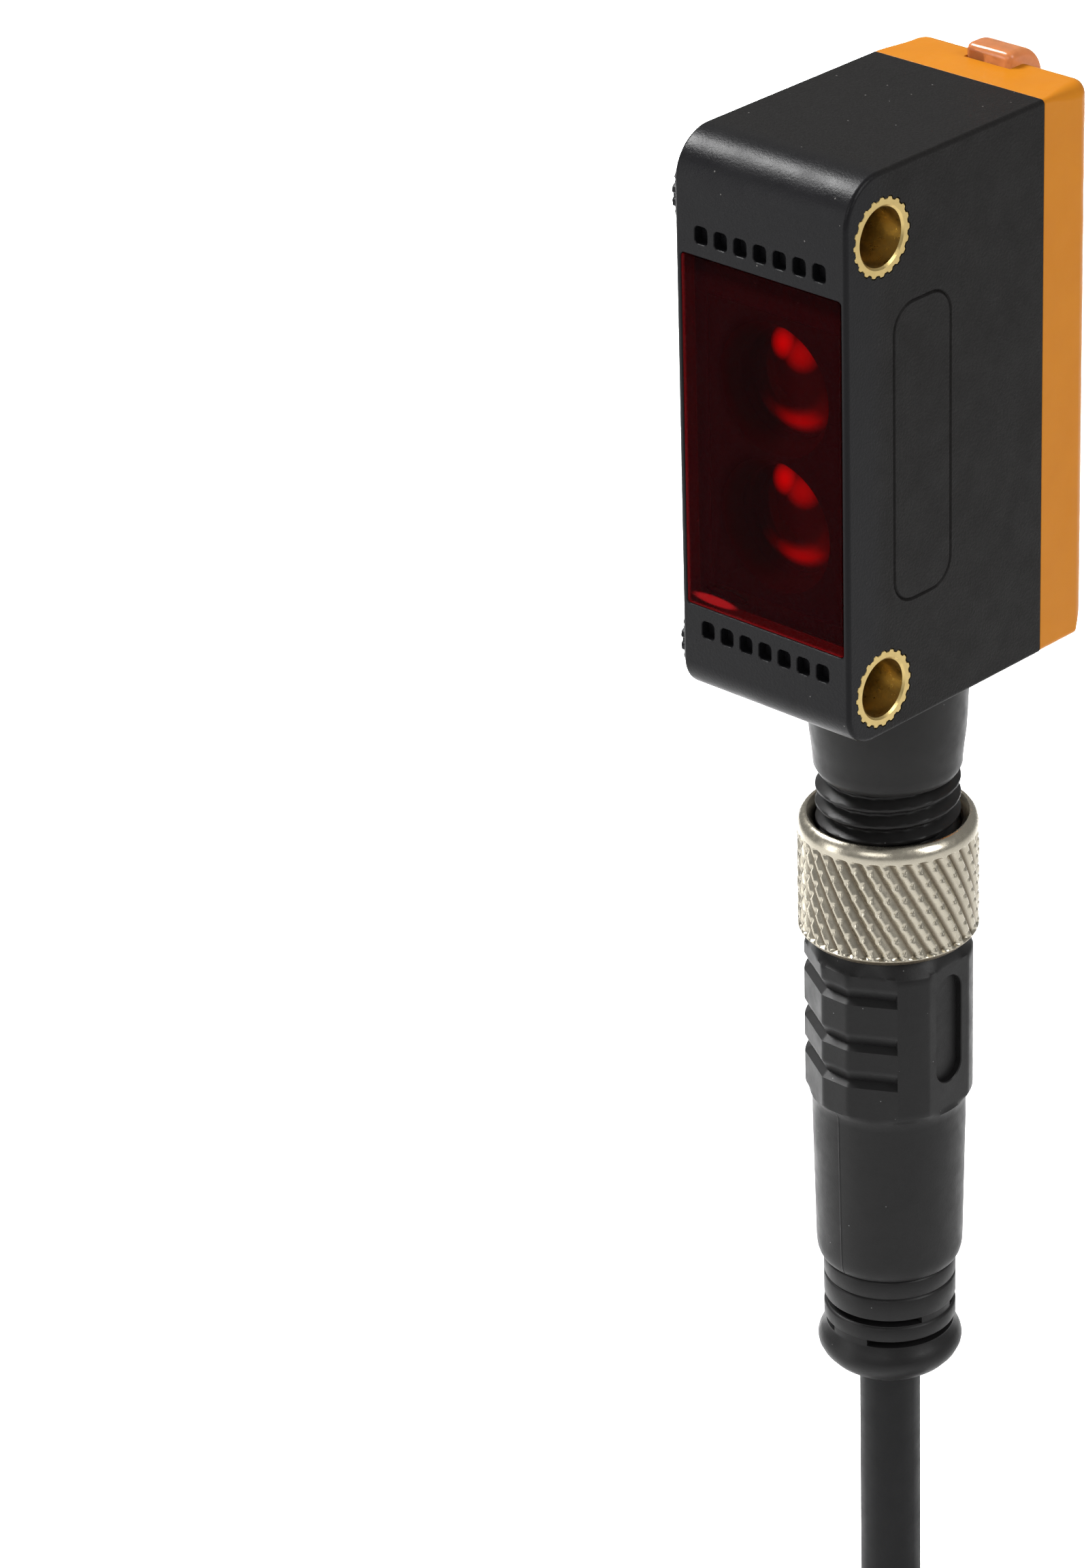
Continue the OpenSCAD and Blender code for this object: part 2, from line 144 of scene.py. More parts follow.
# ---- camera
def place_camera():
    """A long lens from the front right, looking a little down, with a slight roll."""
    azimuth, elevation, roll = radians(44.22), radians(26.981), radians(-1.854)
    distance, across, down = 320.63, -13.263, -18.017
    back = Vector((sin(azimuth) * cos(elevation), -cos(azimuth) * cos(elevation),
                   sin(elevation)))
    level = Vector((cos(azimuth), sin(azimuth), 0))
    upright = back.cross(level)
    right = cos(roll) * level + sin(roll) * upright
    up = cos(roll) * upright - sin(roll) * level
    data = bpy.data.cameras.new("camera")
    data.sensor_fit = "HORIZONTAL"
    data.sensor_width = 36
    data.lens = 204.07
    data.clip_start = 0.01
    data.clip_end = 20
    camera = placed("camera", data)
    rotation = Matrix((right, up, back)).transposed().to_4x4()
    place = (back * distance + right * across + up * down) * MM
    camera.matrix_world = Matrix.Translation(place) @ rotation
    bpy.context.scene.camera = camera


# ---- materials
class Paint:
    """Short calls that build one material's nodes. Sizes are in millimetres."""

    def __init__(self, name):
        self.material = bpy.data.materials.new(name)
        self.material.use_nodes = True
        self.tree = self.material.node_tree
        self.tree.nodes.clear()
        self.out = self.add("ShaderNodeOutputMaterial")
        self.place = self.add("ShaderNodeTexCoord").outputs["Object"]

    def add(self, kind, inputs=(), **settings):
        node = self.tree.nodes.new(kind)
        for key, value in settings.items():
            setattr(node, key, value)
        for key, value in dict(inputs).items():
            if isinstance(value, bpy.types.NodeSocket):
                self.tree.links.new(value, node.inputs[key])
            else:
                node.inputs[key].default_value = value
        return node

    def noise(self, size, detail=3.0, roughness=0.55):
        """Grey clouds about size across."""
        inputs = {"Vector": self.place, "Scale": 1 / (size * MM), "Detail": detail, "Roughness": roughness}
        return self.add("ShaderNodeTexNoise", inputs).outputs["Fac"]

    def uneven(self, size, detail, low, high):
        """Clouds that wander between two values."""
        return self.fade(self.noise(size, detail), 0.3, 0.7, low, high)

    def specks(self, spacing, radius):
        """1 on a small dot in about four cells of ten, 0 elsewhere."""
        cells = self.add("ShaderNodeTexVoronoi", {"Vector": self.place, "Scale": 1 / (spacing * MM)})
        dot = self.math("LESS_THAN", cells.outputs["Distance"], radius / spacing)
        return self.times(dot, self.math("GREATER_THAN", self.split(cells.outputs["Color"], 0), 0.62))

    def split(self, vector, axis):
        return self.add("ShaderNodeSeparateXYZ", {0: vector}).outputs[axis]

    def millimetres(self, axis, middle=0.0):
        """Distance along an axis from a middle place."""
        return self.math("SUBTRACT", self.math("DIVIDE", self.split(self.place, axis), MM), middle)

    def math(self, operation, a, b=0.0, clamp=False):
        return self.add("ShaderNodeMath", {0: a, 1: b}, operation=operation, use_clamp=clamp).outputs[0]

    def times(self, a, b):
        return self.math("MULTIPLY", a, b)

    def largest(self, value, *others):
        for other in others:
            value = self.math("MAXIMUM", value, other)
        return value

    def fade(self, value, low, high, to_low=0.0, to_high=1.0, smooth=False):
        """Maps low..high to to_low..to_high, held at the ends."""
        inputs = {"Value": value, "From Min": low, "From Max": high, "To Min": to_low, "To Max": to_high}
        kind = "SMOOTHSTEP" if smooth else "LINEAR"
        return self.add("ShaderNodeMapRange", inputs, interpolation_type=kind).outputs["Result"]

    def blend(self, amount, a, b):
        """Mixes two colours."""
        node = self.add("ShaderNodeMix", {0: amount}, data_type="RGBA")
        for socket, value in ((node.inputs[6], a), (node.inputs[7], b)):
            if isinstance(value, bpy.types.NodeSocket):
                self.tree.links.new(value, socket)
            else:
                socket.default_value = (*value, 1)
        return node.outputs[2]

    def bump(self, height, depth, strength=1.0, under=None):
        """Relief of a grey height field, depth millimetres tall."""
        inputs = {"Height": height, "Distance": depth * MM, "Strength": strength}
        if under is not None:
            inputs["Normal"] = under
        return self.add("ShaderNodeBump", inputs).outputs["Normal"]

    def attribute(self, name):
        return self.add("ShaderNodeAttribute", attribute_name=name).outputs["Fac"]

    def principled(self, color, roughness, normal=None, **constants):
        """The shader, with constants set on its own sockets."""
        inputs = {"Base Color": color if isinstance(color, bpy.types.NodeSocket) else (*color, 1),
                  "Roughness": roughness}
        if normal is not None:
            inputs["Normal"] = normal
        inputs.update({key.replace("_", " "): value for key, value in constants.items()})
        return self.add("ShaderNodeBsdfPrincipled", inputs).outputs["BSDF"]

    def finish(self, surface):
        self.tree.links.new(surface, self.out.inputs["Surface"])
        return self.material


def housing_plastic():
    """Fine-textured black moulding, smoother on the optical face and tinted a cooler grey there as a painted
    sheen, with a few dust specks.
    """
    p = Paint("housing_plastic")
    smooth_face = p.fade(p.millimetres(1), 0.6, -1.4, smooth=True)
    grain = p.noise(0.15, 4, 0.65)
    base = p.blend(p.noise(4.0, 3), (0.0066, 0.0060, 0.0056), (0.0092, 0.0084, 0.0080))
    base = p.blend(p.fade(grain, 0.35, 0.7), base, (0.0130, 0.0122, 0.0118))
    # Painted sheen: the optical face gets a cooler, bluish black that stands for the front light's
    # reflection.
    base = p.blend(smooth_face, base, (0.0085, 0.0084, 0.0096))
    dust = p.times(p.specks(0.8, 0.045), 0.7)
    color = p.blend(dust, base, (0.22, 0.21, 0.20))
    rough = p.uneven(1.6, 4, 0.44, 0.56)
    rough = p.math("SUBTRACT", rough, p.times(smooth_face, 0.17))
    fine = p.times(grain, p.fade(smooth_face, 0, 1, 1, 0.4))
    relief = p.bump(fine, 0.034, 1.0, p.bump(p.noise(0.6, 2), 0.008, 0.6))
    return p.finish(p.principled(color, rough, relief, Specular_IOR_Level=0.16, IOR=1.5))


def orange_plastic():
    """Slightly see-through orange moulding with soft flow marks."""
    p = Paint("orange_plastic")
    flow = p.noise(2.6, 4, 0.6)
    grain = p.noise(0.13, 3, 0.6)
    color = p.blend(flow, (0.58, 0.195, 0.006), (0.66, 0.237, 0.009))
    color = p.blend(p.times(p.specks(1.1, 0.04), 0.35), color, (0.35, 0.14, 0.02))
    rough = p.uneven(1.2, 4, 0.34, 0.44)
    surface = p.principled(color, rough, p.bump(grain, 0.006, 0.7), Subsurface_Weight=0.1,
                           Subsurface_Radius=(0.0016, 0.0006, 0.0002), Subsurface_Scale=1.0, IOR=1.5,
                           Specular_IOR_Level=0.22)
    return p.finish(surface)


def nickel():
    """Nickel plating over brass: bright, lightly scratched, dark brown where the knurl is deep, with painted
    shade in its bore and on its underside.
    """
    p = Paint("nickel")
    cavity = p.attribute("cavity")
    clouds = p.noise(0.9, 4, 0.6)
    color = p.blend(clouds, (0.50, 0.46, 0.37), (0.61, 0.565, 0.465))
    # Darker brown in the knurl's grooves, and painted shade in the bore and under the nut, from the cavity
    # values.
    groove_and_shade = p.times(p.fade(cavity, 0.35, 1.0, smooth=True), 0.85)
    color = p.blend(groove_and_shade, color, (0.115, 0.085, 0.05))
    rough = p.uneven(0.35, 4, 0.20, 0.32)
    rough = p.math("ADD", rough, p.times(groove_and_shade, 0.25))
    relief = p.bump(p.noise(0.12, 3), 0.004, 0.7)
    return p.finish(p.principled(color, rough, relief, Metallic=1.0))


def brass():
    """Turned brass, dull, with painted shade darkening it inside its threads."""
    p = Paint("bushing_brass")
    cavity = p.attribute("cavity")
    clouds = p.noise(0.5, 4, 0.6)
    light = (0.80, 0.60, 0.245)
    color = p.blend(clouds, light, tuple(c * 0.84 for c in light))
    # Painted shade inside the threaded bore, deeper further in.
    color = p.blend(p.fade(cavity, 0.25, 1.0, 0, 0.85), color, (0.10, 0.06, 0.018))
    rough = p.uneven(0.25, 3, 0.26, 0.40)
    return p.finish(p.principled(color, rough, p.bump(p.noise(0.1, 3), 0.004, 0.8), Metallic=1.0))


def ellipse(p, x, z, middle_x, middle_z, half_x, half_z, full=0.5):
    """1 in the middle of a soft-edged ellipse, 0 outside; full is where the edge starts to fade."""
    u = p.math("DIVIDE", p.math("SUBTRACT", x, middle_x), half_x)
    v = p.math("DIVIDE", p.math("SUBTRACT", z, middle_z), half_z)
    return p.fade(p.math("ADD", p.times(u, u), p.times(v, v)), 1.2, full)


def red_window():
    """Dark red filter: clear red from within, polished outside, with painted light along its left and lower
    edges and painted shadow round the lenses and along its top.
    """
    p = Paint("red_window")
    smear = p.noise(3.0, 4, 0.6)
    tint = p.blend(smear, (0.80, 0.002, 0.004), (0.88, 0.004, 0.007))
    inside = p.add("ShaderNodeBsdfTransparent", {"Color": tint}).outputs[0]
    x, z = p.millimetres(0), p.millimetres(2)
    # Painted light: a bright red strip at the left edge, a bright line along the foot and a bar low on the
    # left.
    left = p.times(p.fade(x, -5.15, -5.3), 0.4)
    foot = p.times(p.fade(z, WINDOW_LOW.z + 0.2, WINDOW_LOW.z + 0.1), 0.5)
    bar = ellipse(p, x, z, -3.5, WINDOW_LOW.z + 0.62, 1.6, 0.3)
    painted_edge_light = p.largest(left, foot, bar)
    # Painted shadow: the haze is darker round both lenses and along the top.
    shadow = p.largest(ellipse(p, x, z, -0.3, 4.1, 2.7, 3.7), ellipse(p, x, z, -0.4, -3.5, 2.7, 3.7),
                       p.fade(z, 8.8, 9.3))
    dusty = p.times(p.specks(0.9, 0.05), 0.5)
    haze = p.blend(p.times(shadow, 0.75), (0.030, 0.0004, 0.0011), (0.002, 0.0001, 0.0002))
    color = p.blend(painted_edge_light, haze, (0.36, 0.003, 0.005))
    color = p.blend(dusty, color, (0.22, 0.10, 0.10))
    rough = p.fade(smear, 0.3, 0.7, 0.05, 0.10)
    polished = p.principled(color, rough, p.bump(p.noise(5.0, 2), 0.02, 0.5), IOR=1.49,
                            Specular_IOR_Level=0.05)
    amount = p.largest(p.times(dusty, 0.8), p.fade(painted_edge_light, 0, 1, 0.34, 0.8))
    return p.finish(p.add("ShaderNodeMixShader", {0: amount, 1: inside, 2: polished}).outputs[0])


def lens_glass(name, middle_z):
    """Moulded red lens: dark through its middle, with painted highlights drawn as emissive red glints above
    and below, and painted shadow on its left.
    """
    p = Paint(name)
    x, z = p.millimetres(0), p.millimetres(2, middle_z)
    # Painted highlights: an emissive oval pair above and a crescent below stand for reflections of the lamps
    # in the lens.
    crescent = p.math("SUBTRACT", ellipse(p, x, z, 0.2, 0.0, 2.75, 2.6),
                      ellipse(p, x, z, -0.1, 0.75, 3.1, 2.7), clamp=True)
    core = ellipse(p, x, z, 0.7, -2.0, 1.7, 1.1, 0.0)
    lower = p.times(crescent, p.fade(core, 0.0, 1.0, 0.38, 1.0))
    upper = p.times(ellipse(p, x, z, 0.75, 1.75, 1.15, 0.95, 0.0), 0.7)
    upper = p.largest(upper, ellipse(p, x, z, -0.5, 2.1, 0.9, 0.85, 0.0))
    painted_glint = p.math("POWER", p.largest(upper, lower), 1.5)
    body = p.blend(p.noise(1.5, 3), (0.030, 0.001, 0.0015), (0.060, 0.002, 0.003))
    # Painted shadow: the left of each lens is darkened where the holder's rim shades it.
    body = p.blend(p.fade(x, -0.9, -1.9), body, (0.004, 0.0004, 0.0005))
    color = p.blend(painted_glint, body, (0.80, 0.03, 0.03))
    rough = p.uneven(0.8, 3, 0.06, 0.12)
    surface = p.principled(color, rough, p.bump(p.noise(1.2, 2), 0.004, 0.5), IOR=1.58,
                           Specular_IOR_Level=0.3, Emission_Color=(1.0, 0.02, 0.03, 1),
                           Emission_Strength=p.times(painted_glint, 1.3))
    return p.finish(surface)


def light_pipe():
    """Clear light pipe, with a warm copper tint painted in for the light of the orange round it."""
    p = Paint("light_pipe")
    # Painted light: the copper colour stands for orange light from the cover round the pipe.
    color = p.blend(p.noise(0.9, 3), (0.42, 0.155, 0.05), (0.54, 0.22, 0.085))
    clear = p.add("ShaderNodeBsdfTransparent", {"Color": (0.82, 0.46, 0.25, 1)}).outputs[0]
    rough = p.uneven(0.25, 4, 0.14, 0.26)
    body = p.principled(color, rough, p.bump(p.noise(0.2, 3), 0.006, 0.7), IOR=1.49, Subsurface_Weight=0.3,
                        Subsurface_Radius=(0.002, 0.001, 0.0008), Subsurface_Scale=1.0, Coat_Weight=0.4,
                        Coat_Roughness=0.12)
    amount = p.uneven(0.7, 3, 0.62, 0.76)
    return p.finish(p.add("ShaderNodeMixShader", {0: amount, 1: clear, 2: body}).outputs[0])


def moulded(name, dark, light, rough=(0.4, 0.55), grain=0.12, relief=0.006, cloud=1.5, specks=0.0,
            **constants):
    """A moulded, cut or coated surface: two tints in clouds, fine relief and uneven gloss."""
    p = Paint(name)
    color = p.blend(p.noise(cloud, 4), dark, light)
    if specks:
        spot = tuple(min(1, c + 0.22) for c in light)
        color = p.blend(p.times(p.specks(0.9, 0.035), specks), color, spot)
    gloss = p.uneven(cloud * 0.4, 4, *rough)
    return p.finish(p.principled(color, gloss, p.bump(p.noise(grain, 3, 0.6), relief, 0.8), **constants))


def circuit_board():
    """Green solder mask with faint copper tracks under it."""
    p = Paint("circuit_board")
    tracks = p.add("ShaderNodeTexVoronoi", {"Vector": p.place, "Scale": 1 / (1.3 * MM)},
                   distance="CHEBYCHEV", feature="F1")
    lines = p.fade(p.math("PINGPONG", tracks.outputs["Distance"], 0.12), 0.02, 0.06)
    color = p.blend(lines, (0.030, 0.16, 0.055), (0.012, 0.085, 0.030))
    rough = p.uneven(0.8, 3, 0.28, 0.40)
    return p.finish(p.principled(color, rough, p.bump(lines, 0.02, 0.6)))


def woven_tie():
    """Hook-and-loop tape: a fuzzy cross weave."""
    p = Paint("woven_tie")

    def threads(pitch, wander, direction):
        inputs = {"Vector": p.place, "Scale": 1 / (pitch * MM), "Distortion": wander, "Detail": 2.0}
        return p.add("ShaderNodeTexWave", inputs, bands_direction=direction).outputs["Fac"]
    weave = p.times(threads(2.2, 0.6, "Z"), threads(1.6, 0.8, "DIAGONAL"))
    color = p.blend(weave, (0.014, 0.014, 0.015), (0.045, 0.045, 0.048))
    relief = p.bump(p.noise(0.15, 4), 0.05, 0.7, p.bump(weave, 0.15, 0.9))
    return p.finish(p.principled(color, p.fade(weave, 0, 1, 0.95, 0.8), relief, Sheen_Weight=0.5,
                                 Sheen_Roughness=0.5))


def pale_floor():
    p = Paint("pale_floor")
    color = p.blend(p.noise(120, 3), (0.88, 0.88, 0.88), (0.90, 0.90, 0.90))
    return p.finish(p.principled(color, p.uneven(60, 3, 0.7, 0.8), Specular_IOR_Level=0.1))


# ---- outlines and skins
def arc(centre, radius, start, end, steps):
    """Points of an arc in a plane, angles in degrees."""
    angles = [radians(start + (end - start) * i / steps) for i in range(steps + 1)]
    return [(centre[0] + radius * cos(a), centre[1] + radius * sin(a)) for a in angles]


def rounded_box(half_u, half_v, radius, steps=5, centre=(0.0, 0.0)):
    """Anticlockwise outline of a rectangle with round corners."""
    u, v = half_u - radius, half_v - radius
    outline = []
    for k, (su, sv) in enumerate(((1, 1), (-1, 1), (-1, -1), (1, -1))):
        outline += arc((centre[0] + su * u, centre[1] + sv * v), radius, 90 * k, 90 * k + 90, steps)
    return outline


def grown(outline, amount):
    """An anticlockwise closed outline moved outwards by an amount, with mitred corners."""
    points = []
    n = len(outline)
    for i in range(n):
        before, here, after = Vector(outline[i - 1]), Vector(outline[i]), Vector(outline[(i + 1) % n])
        a, b = (here - before).normalized(), (after - here).normalized()
        normal_a, normal_b = Vector((a.y, -a.x)), Vector((b.y, -b.x))
        middle = (normal_a + normal_b).normalized()
        points.append(tuple(here + middle * (amount / max(middle.dot(normal_a), 0.3))))
    return points


def skin(rings, loop=False):
    """Vertices and faces of a closed skin through rings of equally many points."""
    n = len(rings[0])
    vertices = [point for ring in rings for point in ring]
    faces = []
    for i in range(len(rings) if loop else len(rings) - 1):
        a, b = i * n, (i + 1) % len(rings) * n
        faces += [(a + k, a + (k + 1) % n, b + (k + 1) % n, b + k) for k in range(n)]
    if not loop:
        faces += [tuple(range(n - 1, -1, -1)), tuple(range((len(rings) - 1) * n, len(rings) * n))]
    return vertices, faces


def solid(name, *skins):
    """An object in millimetres from one or more closed skins, with its normals turned outwards."""
    vertices, faces = [], []
    for skin_vertices, skin_faces in skins:
        start = len(vertices)
        vertices += skin_vertices
        faces += [tuple(start + k for k in face) for face in skin_faces]
    mesh = bpy.data.meshes.new(name)
    mesh.from_pydata(vertices, [], faces)
    shape = bmesh.new()
    shape.from_mesh(mesh)
    bmesh.ops.recalc_face_normals(shape, faces=shape.faces)
    shape.to_mesh(mesh)
    shape.free()
    return placed(name, mesh)


def along_x(u, v, w):
    return w, u, v


def along_y(u, v, w):
    return u, w, v


def along_x_turn(x, y, z):
    """Lays something turned about an upright line along X: its centre's two values become Y and Z."""
    return z, x, y


def slab(outline, low, high, painted_edge_light=0.0, steps=4, place=along_x):
    """Skin of an outline extruded from low to high, its two end edges rounded."""
    rings = []
    turns = [radians(90 * i / steps) for i in range(steps + 1)] if painted_edge_light else [pi / 2]
    for a in turns:
        rings.append((grown(outline, -painted_edge_light * (1 - sin(a))), low + painted_edge_light * (1 - cos(a))))
    for a in reversed(turns):
        rings.append((grown(outline, -painted_edge_light * (1 - sin(a))), high - painted_edge_light * (1 - cos(a))))
    return skin([[place(u, v, w) for u, v in points] for points, w in rings])


def flared(outline, mouth, floor, lip, place):
    """Skin of a cutter that widens by a small chamfer where it breaks the surface at mouth."""
    out = 1 if mouth > floor else -1
    steps = [(0, floor), (0, mouth - out * lip), (2 * lip, mouth + out * lip)]
    return skin([[place(u, v, w) for u, v in grown(outline, g)] for g, w in steps])


def turned(outline, count, centre=(0.0, 0.0), turn=lambda x, y, z: (x, y, z)):
    """Rings of (radius, height[, shape]) points turned about an upright line, in count even steps or at
    count's own angles. A shape bends the radius by angle and height. turn lays the rings another way."""
    angles = [2 * pi * k / count for k in range(count)] if isinstance(count, int) else count
    rings = []
    for radius, height, *shape in outline:
        ring = []
        for a in angles:
            r = shape[0](a, height, radius) if shape else radius
            ring.append(turn(centre[0] + r * cos(a), centre[1] + r * sin(a), height))
        rings.append(ring)
    return rings


def cut(obj, skins, operation="DIFFERENCE"):
    """Cuts each closed skin out of a piece in turn, or joins it on."""
    cutters = [solid("cutter", piece) for piece in skins]
    for cutter in cutters:
        modifier = obj.modifiers.new("cut", "BOOLEAN")
        modifier.operation = operation
        modifier.solver = "EXACT"
        modifier.object = cutter
    graph = bpy.context.evaluated_depsgraph_get()
    mesh = bpy.data.meshes.new_from_object(obj.evaluated_get(graph))
    obj.modifiers.clear()
    obj.data = mesh
    for cutter in cutters:
        bpy.data.objects.remove(cutter)


def paint(obj, material):
    obj.data.materials.clear()
    obj.data.materials.append(material)


def settle(obj, material, body, nodes=(), angle=32, weighted=True):
    """Scales a piece to metres, shades it, gives it its material and hangs it on its body."""
    mesh = obj.data
    if obj.type == "MESH":
        mesh.transform(Matrix.Scale(MM, 4))
        mesh.shade_smooth()
        mesh.set_sharp_from_angle(angle=radians(angle))
        if weighted:
            modifier = obj.modifiers.new("normals", "WEIGHTED_NORMAL")
            modifier.keep_sharp = True
    paint(obj, material)
    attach(obj, body)
    if nodes:
        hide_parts(*nodes)
    return obj


def mark_cavity(obj, measure):
    """Stores how deep each vertex lies below the outer surface, 0 to 1, for the material's darkening and
    painted shade.
    """
    values = [min(1.0, max(0.0, measure(v.co))) for v in obj.data.vertices]
    layer = obj.data.attributes.new("cavity", "FLOAT", "POINT")
    layer.data.foreach_set("value", values)


def saw(t):
    """Triangle wave from 0 to 1 and back over each unit."""
    return 1 - abs(2 * (t % 1.0) - 1)


def ease(t):
    t = min(max(t, 0.0), 1.0)
    return t * t * (3 - 2 * t)


def teeth(count, depth, phase=0.0):
    """Shape of a serrated rim: flat-topped teeth with gaps depth deep."""
    def shape(angle, height, radius):
        wave = saw(angle * count / (2 * pi) + phase)
        return radius - depth * (1 - ease((wave - 0.35) / 0.25))
    return shape


def thread(pitch, depth, low, high):
    """Shape of a helical V thread with narrow flat crests, run out at both ends."""
    def shape(angle, height, radius):
        wave = saw(height / pitch - angle / (2 * pi))
        ridge = min(max((wave - 0.12) / 0.74, 0.0), 1.0)
        run_out = ease((height - low) / (0.3 * pitch)) * ease((high - height) / (0.2 * pitch))
        return radius - depth * (1 - ridge * run_out)
    return shape


# ---- housing
def at_bushings(profile, count):
    """Skins of a profile turned about the axes of both bushings."""
    return [skin(turned(profile, count, (0, z), along_x_turn)) for z in (BUSHING_Z, -BUSHING_Z)]


def front_outline(low, high, radius, steps, gap=0.0):
    """Rounded outline of a box seen from the front, grown by a gap."""
    half = (high.x - low.x) / 2 + gap, (high.z - low.z) / 2 + gap
    return rounded_box(*half, radius, steps, (0, (high.z + low.z) / 2))


def housing():
    """Hollow black shell, open at the rear, with its front recess, pockets, bosses and connector seat."""
    brow = arc((FACE_Y + BROW_R, TOP - BROW_R), BROW_R, 90, 180, 28)
    chin = arc((FACE_Y + CHIN_R, BOTTOM + CHIN_R), CHIN_R, 180, 270, 20)
    past_rim = RIM_Y + 1.5
    outline = brow + chin + [(past_rim, BOTTOM), (past_rim, TOP)]
    obj = solid("housing_shell", slab(outline, -HALF_W, HALF_W, SIDE_EDGE_R, 5))

    inner_w, inner_top, inner_bottom = HALF_W - WALL, TOP - WALL, BOTTOM + WALL
    inner_front = FACE_Y + 1.5
    middle = ((inner_front + RIM_Y + 3) / 2, (inner_top + inner_bottom) / 2)
    hollow = rounded_box((RIM_Y + 3 - inner_front) / 2, (inner_top - inner_bottom) / 2, 0.6, 5, middle)
    behind = rounded_box(2, 20, 0.5, 2, (RIM_Y + 2, 0))
    cut(obj, [slab(hollow, -inner_w, inner_w), slab(behind, -8, 8)])

    barrel = [(BARREL_R, -inner_w - 0.5), (BARREL_R, inner_w + 0.5)]
    rim = teeth(BUSHING_TEETH, BUSHING_TOOTH)
    ring = [(2.5, -HALF_W + 0.3, rim), (2.5, BOSS_X + 0.1, rim), (2.4, BOSS_X, rim)]
    cut(obj, at_bushings(barrel, 48) + at_bushings(ring, 240), "UNION")

    knurl = teeth(BUSHING_TEETH, BUSHING_TOOTH, 0.5)
    cuts = at_bushings([(BUSHING_R + 0.02, -9, knurl), (BUSHING_R + 0.02, 9, knurl)], 240)
    recess = front_outline(WINDOW_LOW, WINDOW_HIGH, 0.22, 4, 0.03)
    cuts.append(flared(recess, FACE_Y, WINDOW_HIGH.y, 0.05, along_y))
    opening = front_outline(HOLDER_LOW, HOLDER_HIGH, 0.1, 2, 0.05)
    cuts.append(slab(opening, FACE_Y + 0.5, 0.5, place=along_y))
    for z in POCKET_ROWS:
        for column in range(-3, 4):
            pocket = rounded_box(0.44, 0.49, 0.24, 5, (column * POCKET_PITCH, z))
            cuts.append(flared(pocket, FACE_Y, FACE_Y + 0.6, 0.04, along_y))
    cuts.append(panel_groove())
    mouth, seat = SHELL_SEAT_R + 0.06, SHELL_SEAT_R + 0.01
    socket = turned([(mouth, BOTTOM - 1), (mouth, BOTTOM + 0.05), (seat, BOTTOM + 0.1), (seat, BOTTOM + 3)],
                    96, (0, PLUG_Y))
    cuts.append(skin(socket))
    cut(obj, cuts)
    settle(obj, housing_plastic(), "sensor", ["housing"], 28)


def panel_groove():
    """V-shaped loop cut round the plain panel on the +X side."""
    path = rounded_box(2.25, 8.4, 1.5, 10, (3.15, 0.1))
    sides = [(grown(path, 0.11), HALF_W + 0.01), (grown(path, -0.11), HALF_W + 0.01), (path, HALF_W - 0.12)]
    rings = [[(x, *points[i]) for points, x in sides] for i in range(len(path))]
    return skin(rings, loop=True)


def side_print():
    """Pictogram of the sensing direction on the raised side: an arrow in a square."""
    low, high, line = (2.7, 10.4), (6.3, 13.95), 0.22
    middle = ((low[0] + high[0]) / 2, (low[1] + high[1]) / 2)
    half = (high[0] - low[0]) / 2, (high[1] - low[1]) / 2
    outer = rounded_box(*half, 0.12, 3, middle)
    inner = rounded_box(half[0] - line, half[1] - line, 0.05, 3, middle)
    x_top, x_foot = -HALF_W - 0.012, -HALF_W + 0.02
    rings = [[(x_top, *a), (x_top, *b), (x_foot, *b), (x_foot, *a)] for a, b in zip(outer, inner)]
    y, z = middle
    head, shaft = 0.55, 0.17
    arrow = [(y - 1.15, z), (y - 0.2, z - head), (y - 0.2, z - shaft), (y + 1.15, z - shaft),
             (y + 1.15, z + shaft), (y - 0.2, z + shaft), (y - 0.2, z + head)]
    obj = solid("side_print", skin(rings, loop=True), slab(arrow, x_top, x_foot))
    white = moulded("print_white", (0.42, 0.42, 0.41), (0.55, 0.55, 0.54), (0.5, 0.65), cloud=0.6)
    settle(obj, white, "sensor")


# ---- rear cover and light pipe
def cover_section(y, inset):
    """One upright slice of the cover: its side and top edges grow rounder to the rear."""
    back = BACK_Y - inset

    def drawn_in(radius):
        """How far a rear edge of this radius has curved inwards at y, and what is left of the radius."""
        reach = min(max(0.0, y - (back - radius)), radius)
        left = sqrt(radius ** 2 - reach ** 2)
        return radius - left, left
    narrower, left = drawn_in(COVER_R)
    lower_top, top_left = drawn_in(COVER_TOP_R)
    half = HALF_W - inset - narrower
    top = TOP - inset - lower_top
    low = BOTTOM + inset + COVER_FOOT_SLOPE * min(max(0.0, y - (back - COVER_FOOT)), COVER_FOOT)
    soft = SIDE_EDGE_R + (COVER_TOP_R - SIDE_EDGE_R) * ease((y - RIM_Y) / (back - COVER_R - RIM_Y))
    upper = max(min(soft, left, top_left), 0.04)
    lower, steps = 0.35, 8
    points = arc((half - upper, top - upper), upper, 0, 90, steps)
    points += arc((-half + upper, top - upper), upper, 90, 180, steps)
    points += arc((-half + lower, low + lower), lower, 180, 270, steps)
    points += arc((half - lower, low + lower), lower, 270, 360, steps)
    return [(x, y, z) for x, z in points]


def cover_rings(inset, start):
    """Slices of the cover's outer skin, or of its inner one at an inset, from start to the rear face."""
    back = BACK_Y - inset
    places = [start + (back - COVER_R - start) * i / 8 for i in range(8)]
    places += [back - COVER_R + COVER_R * sin(radians(9 * i)) for i in range(11)]
    places += [back - COVER_FOOT, back - COVER_TOP_R + 0.01]
    return [cover_section(y, inset) for y in sorted(places)]


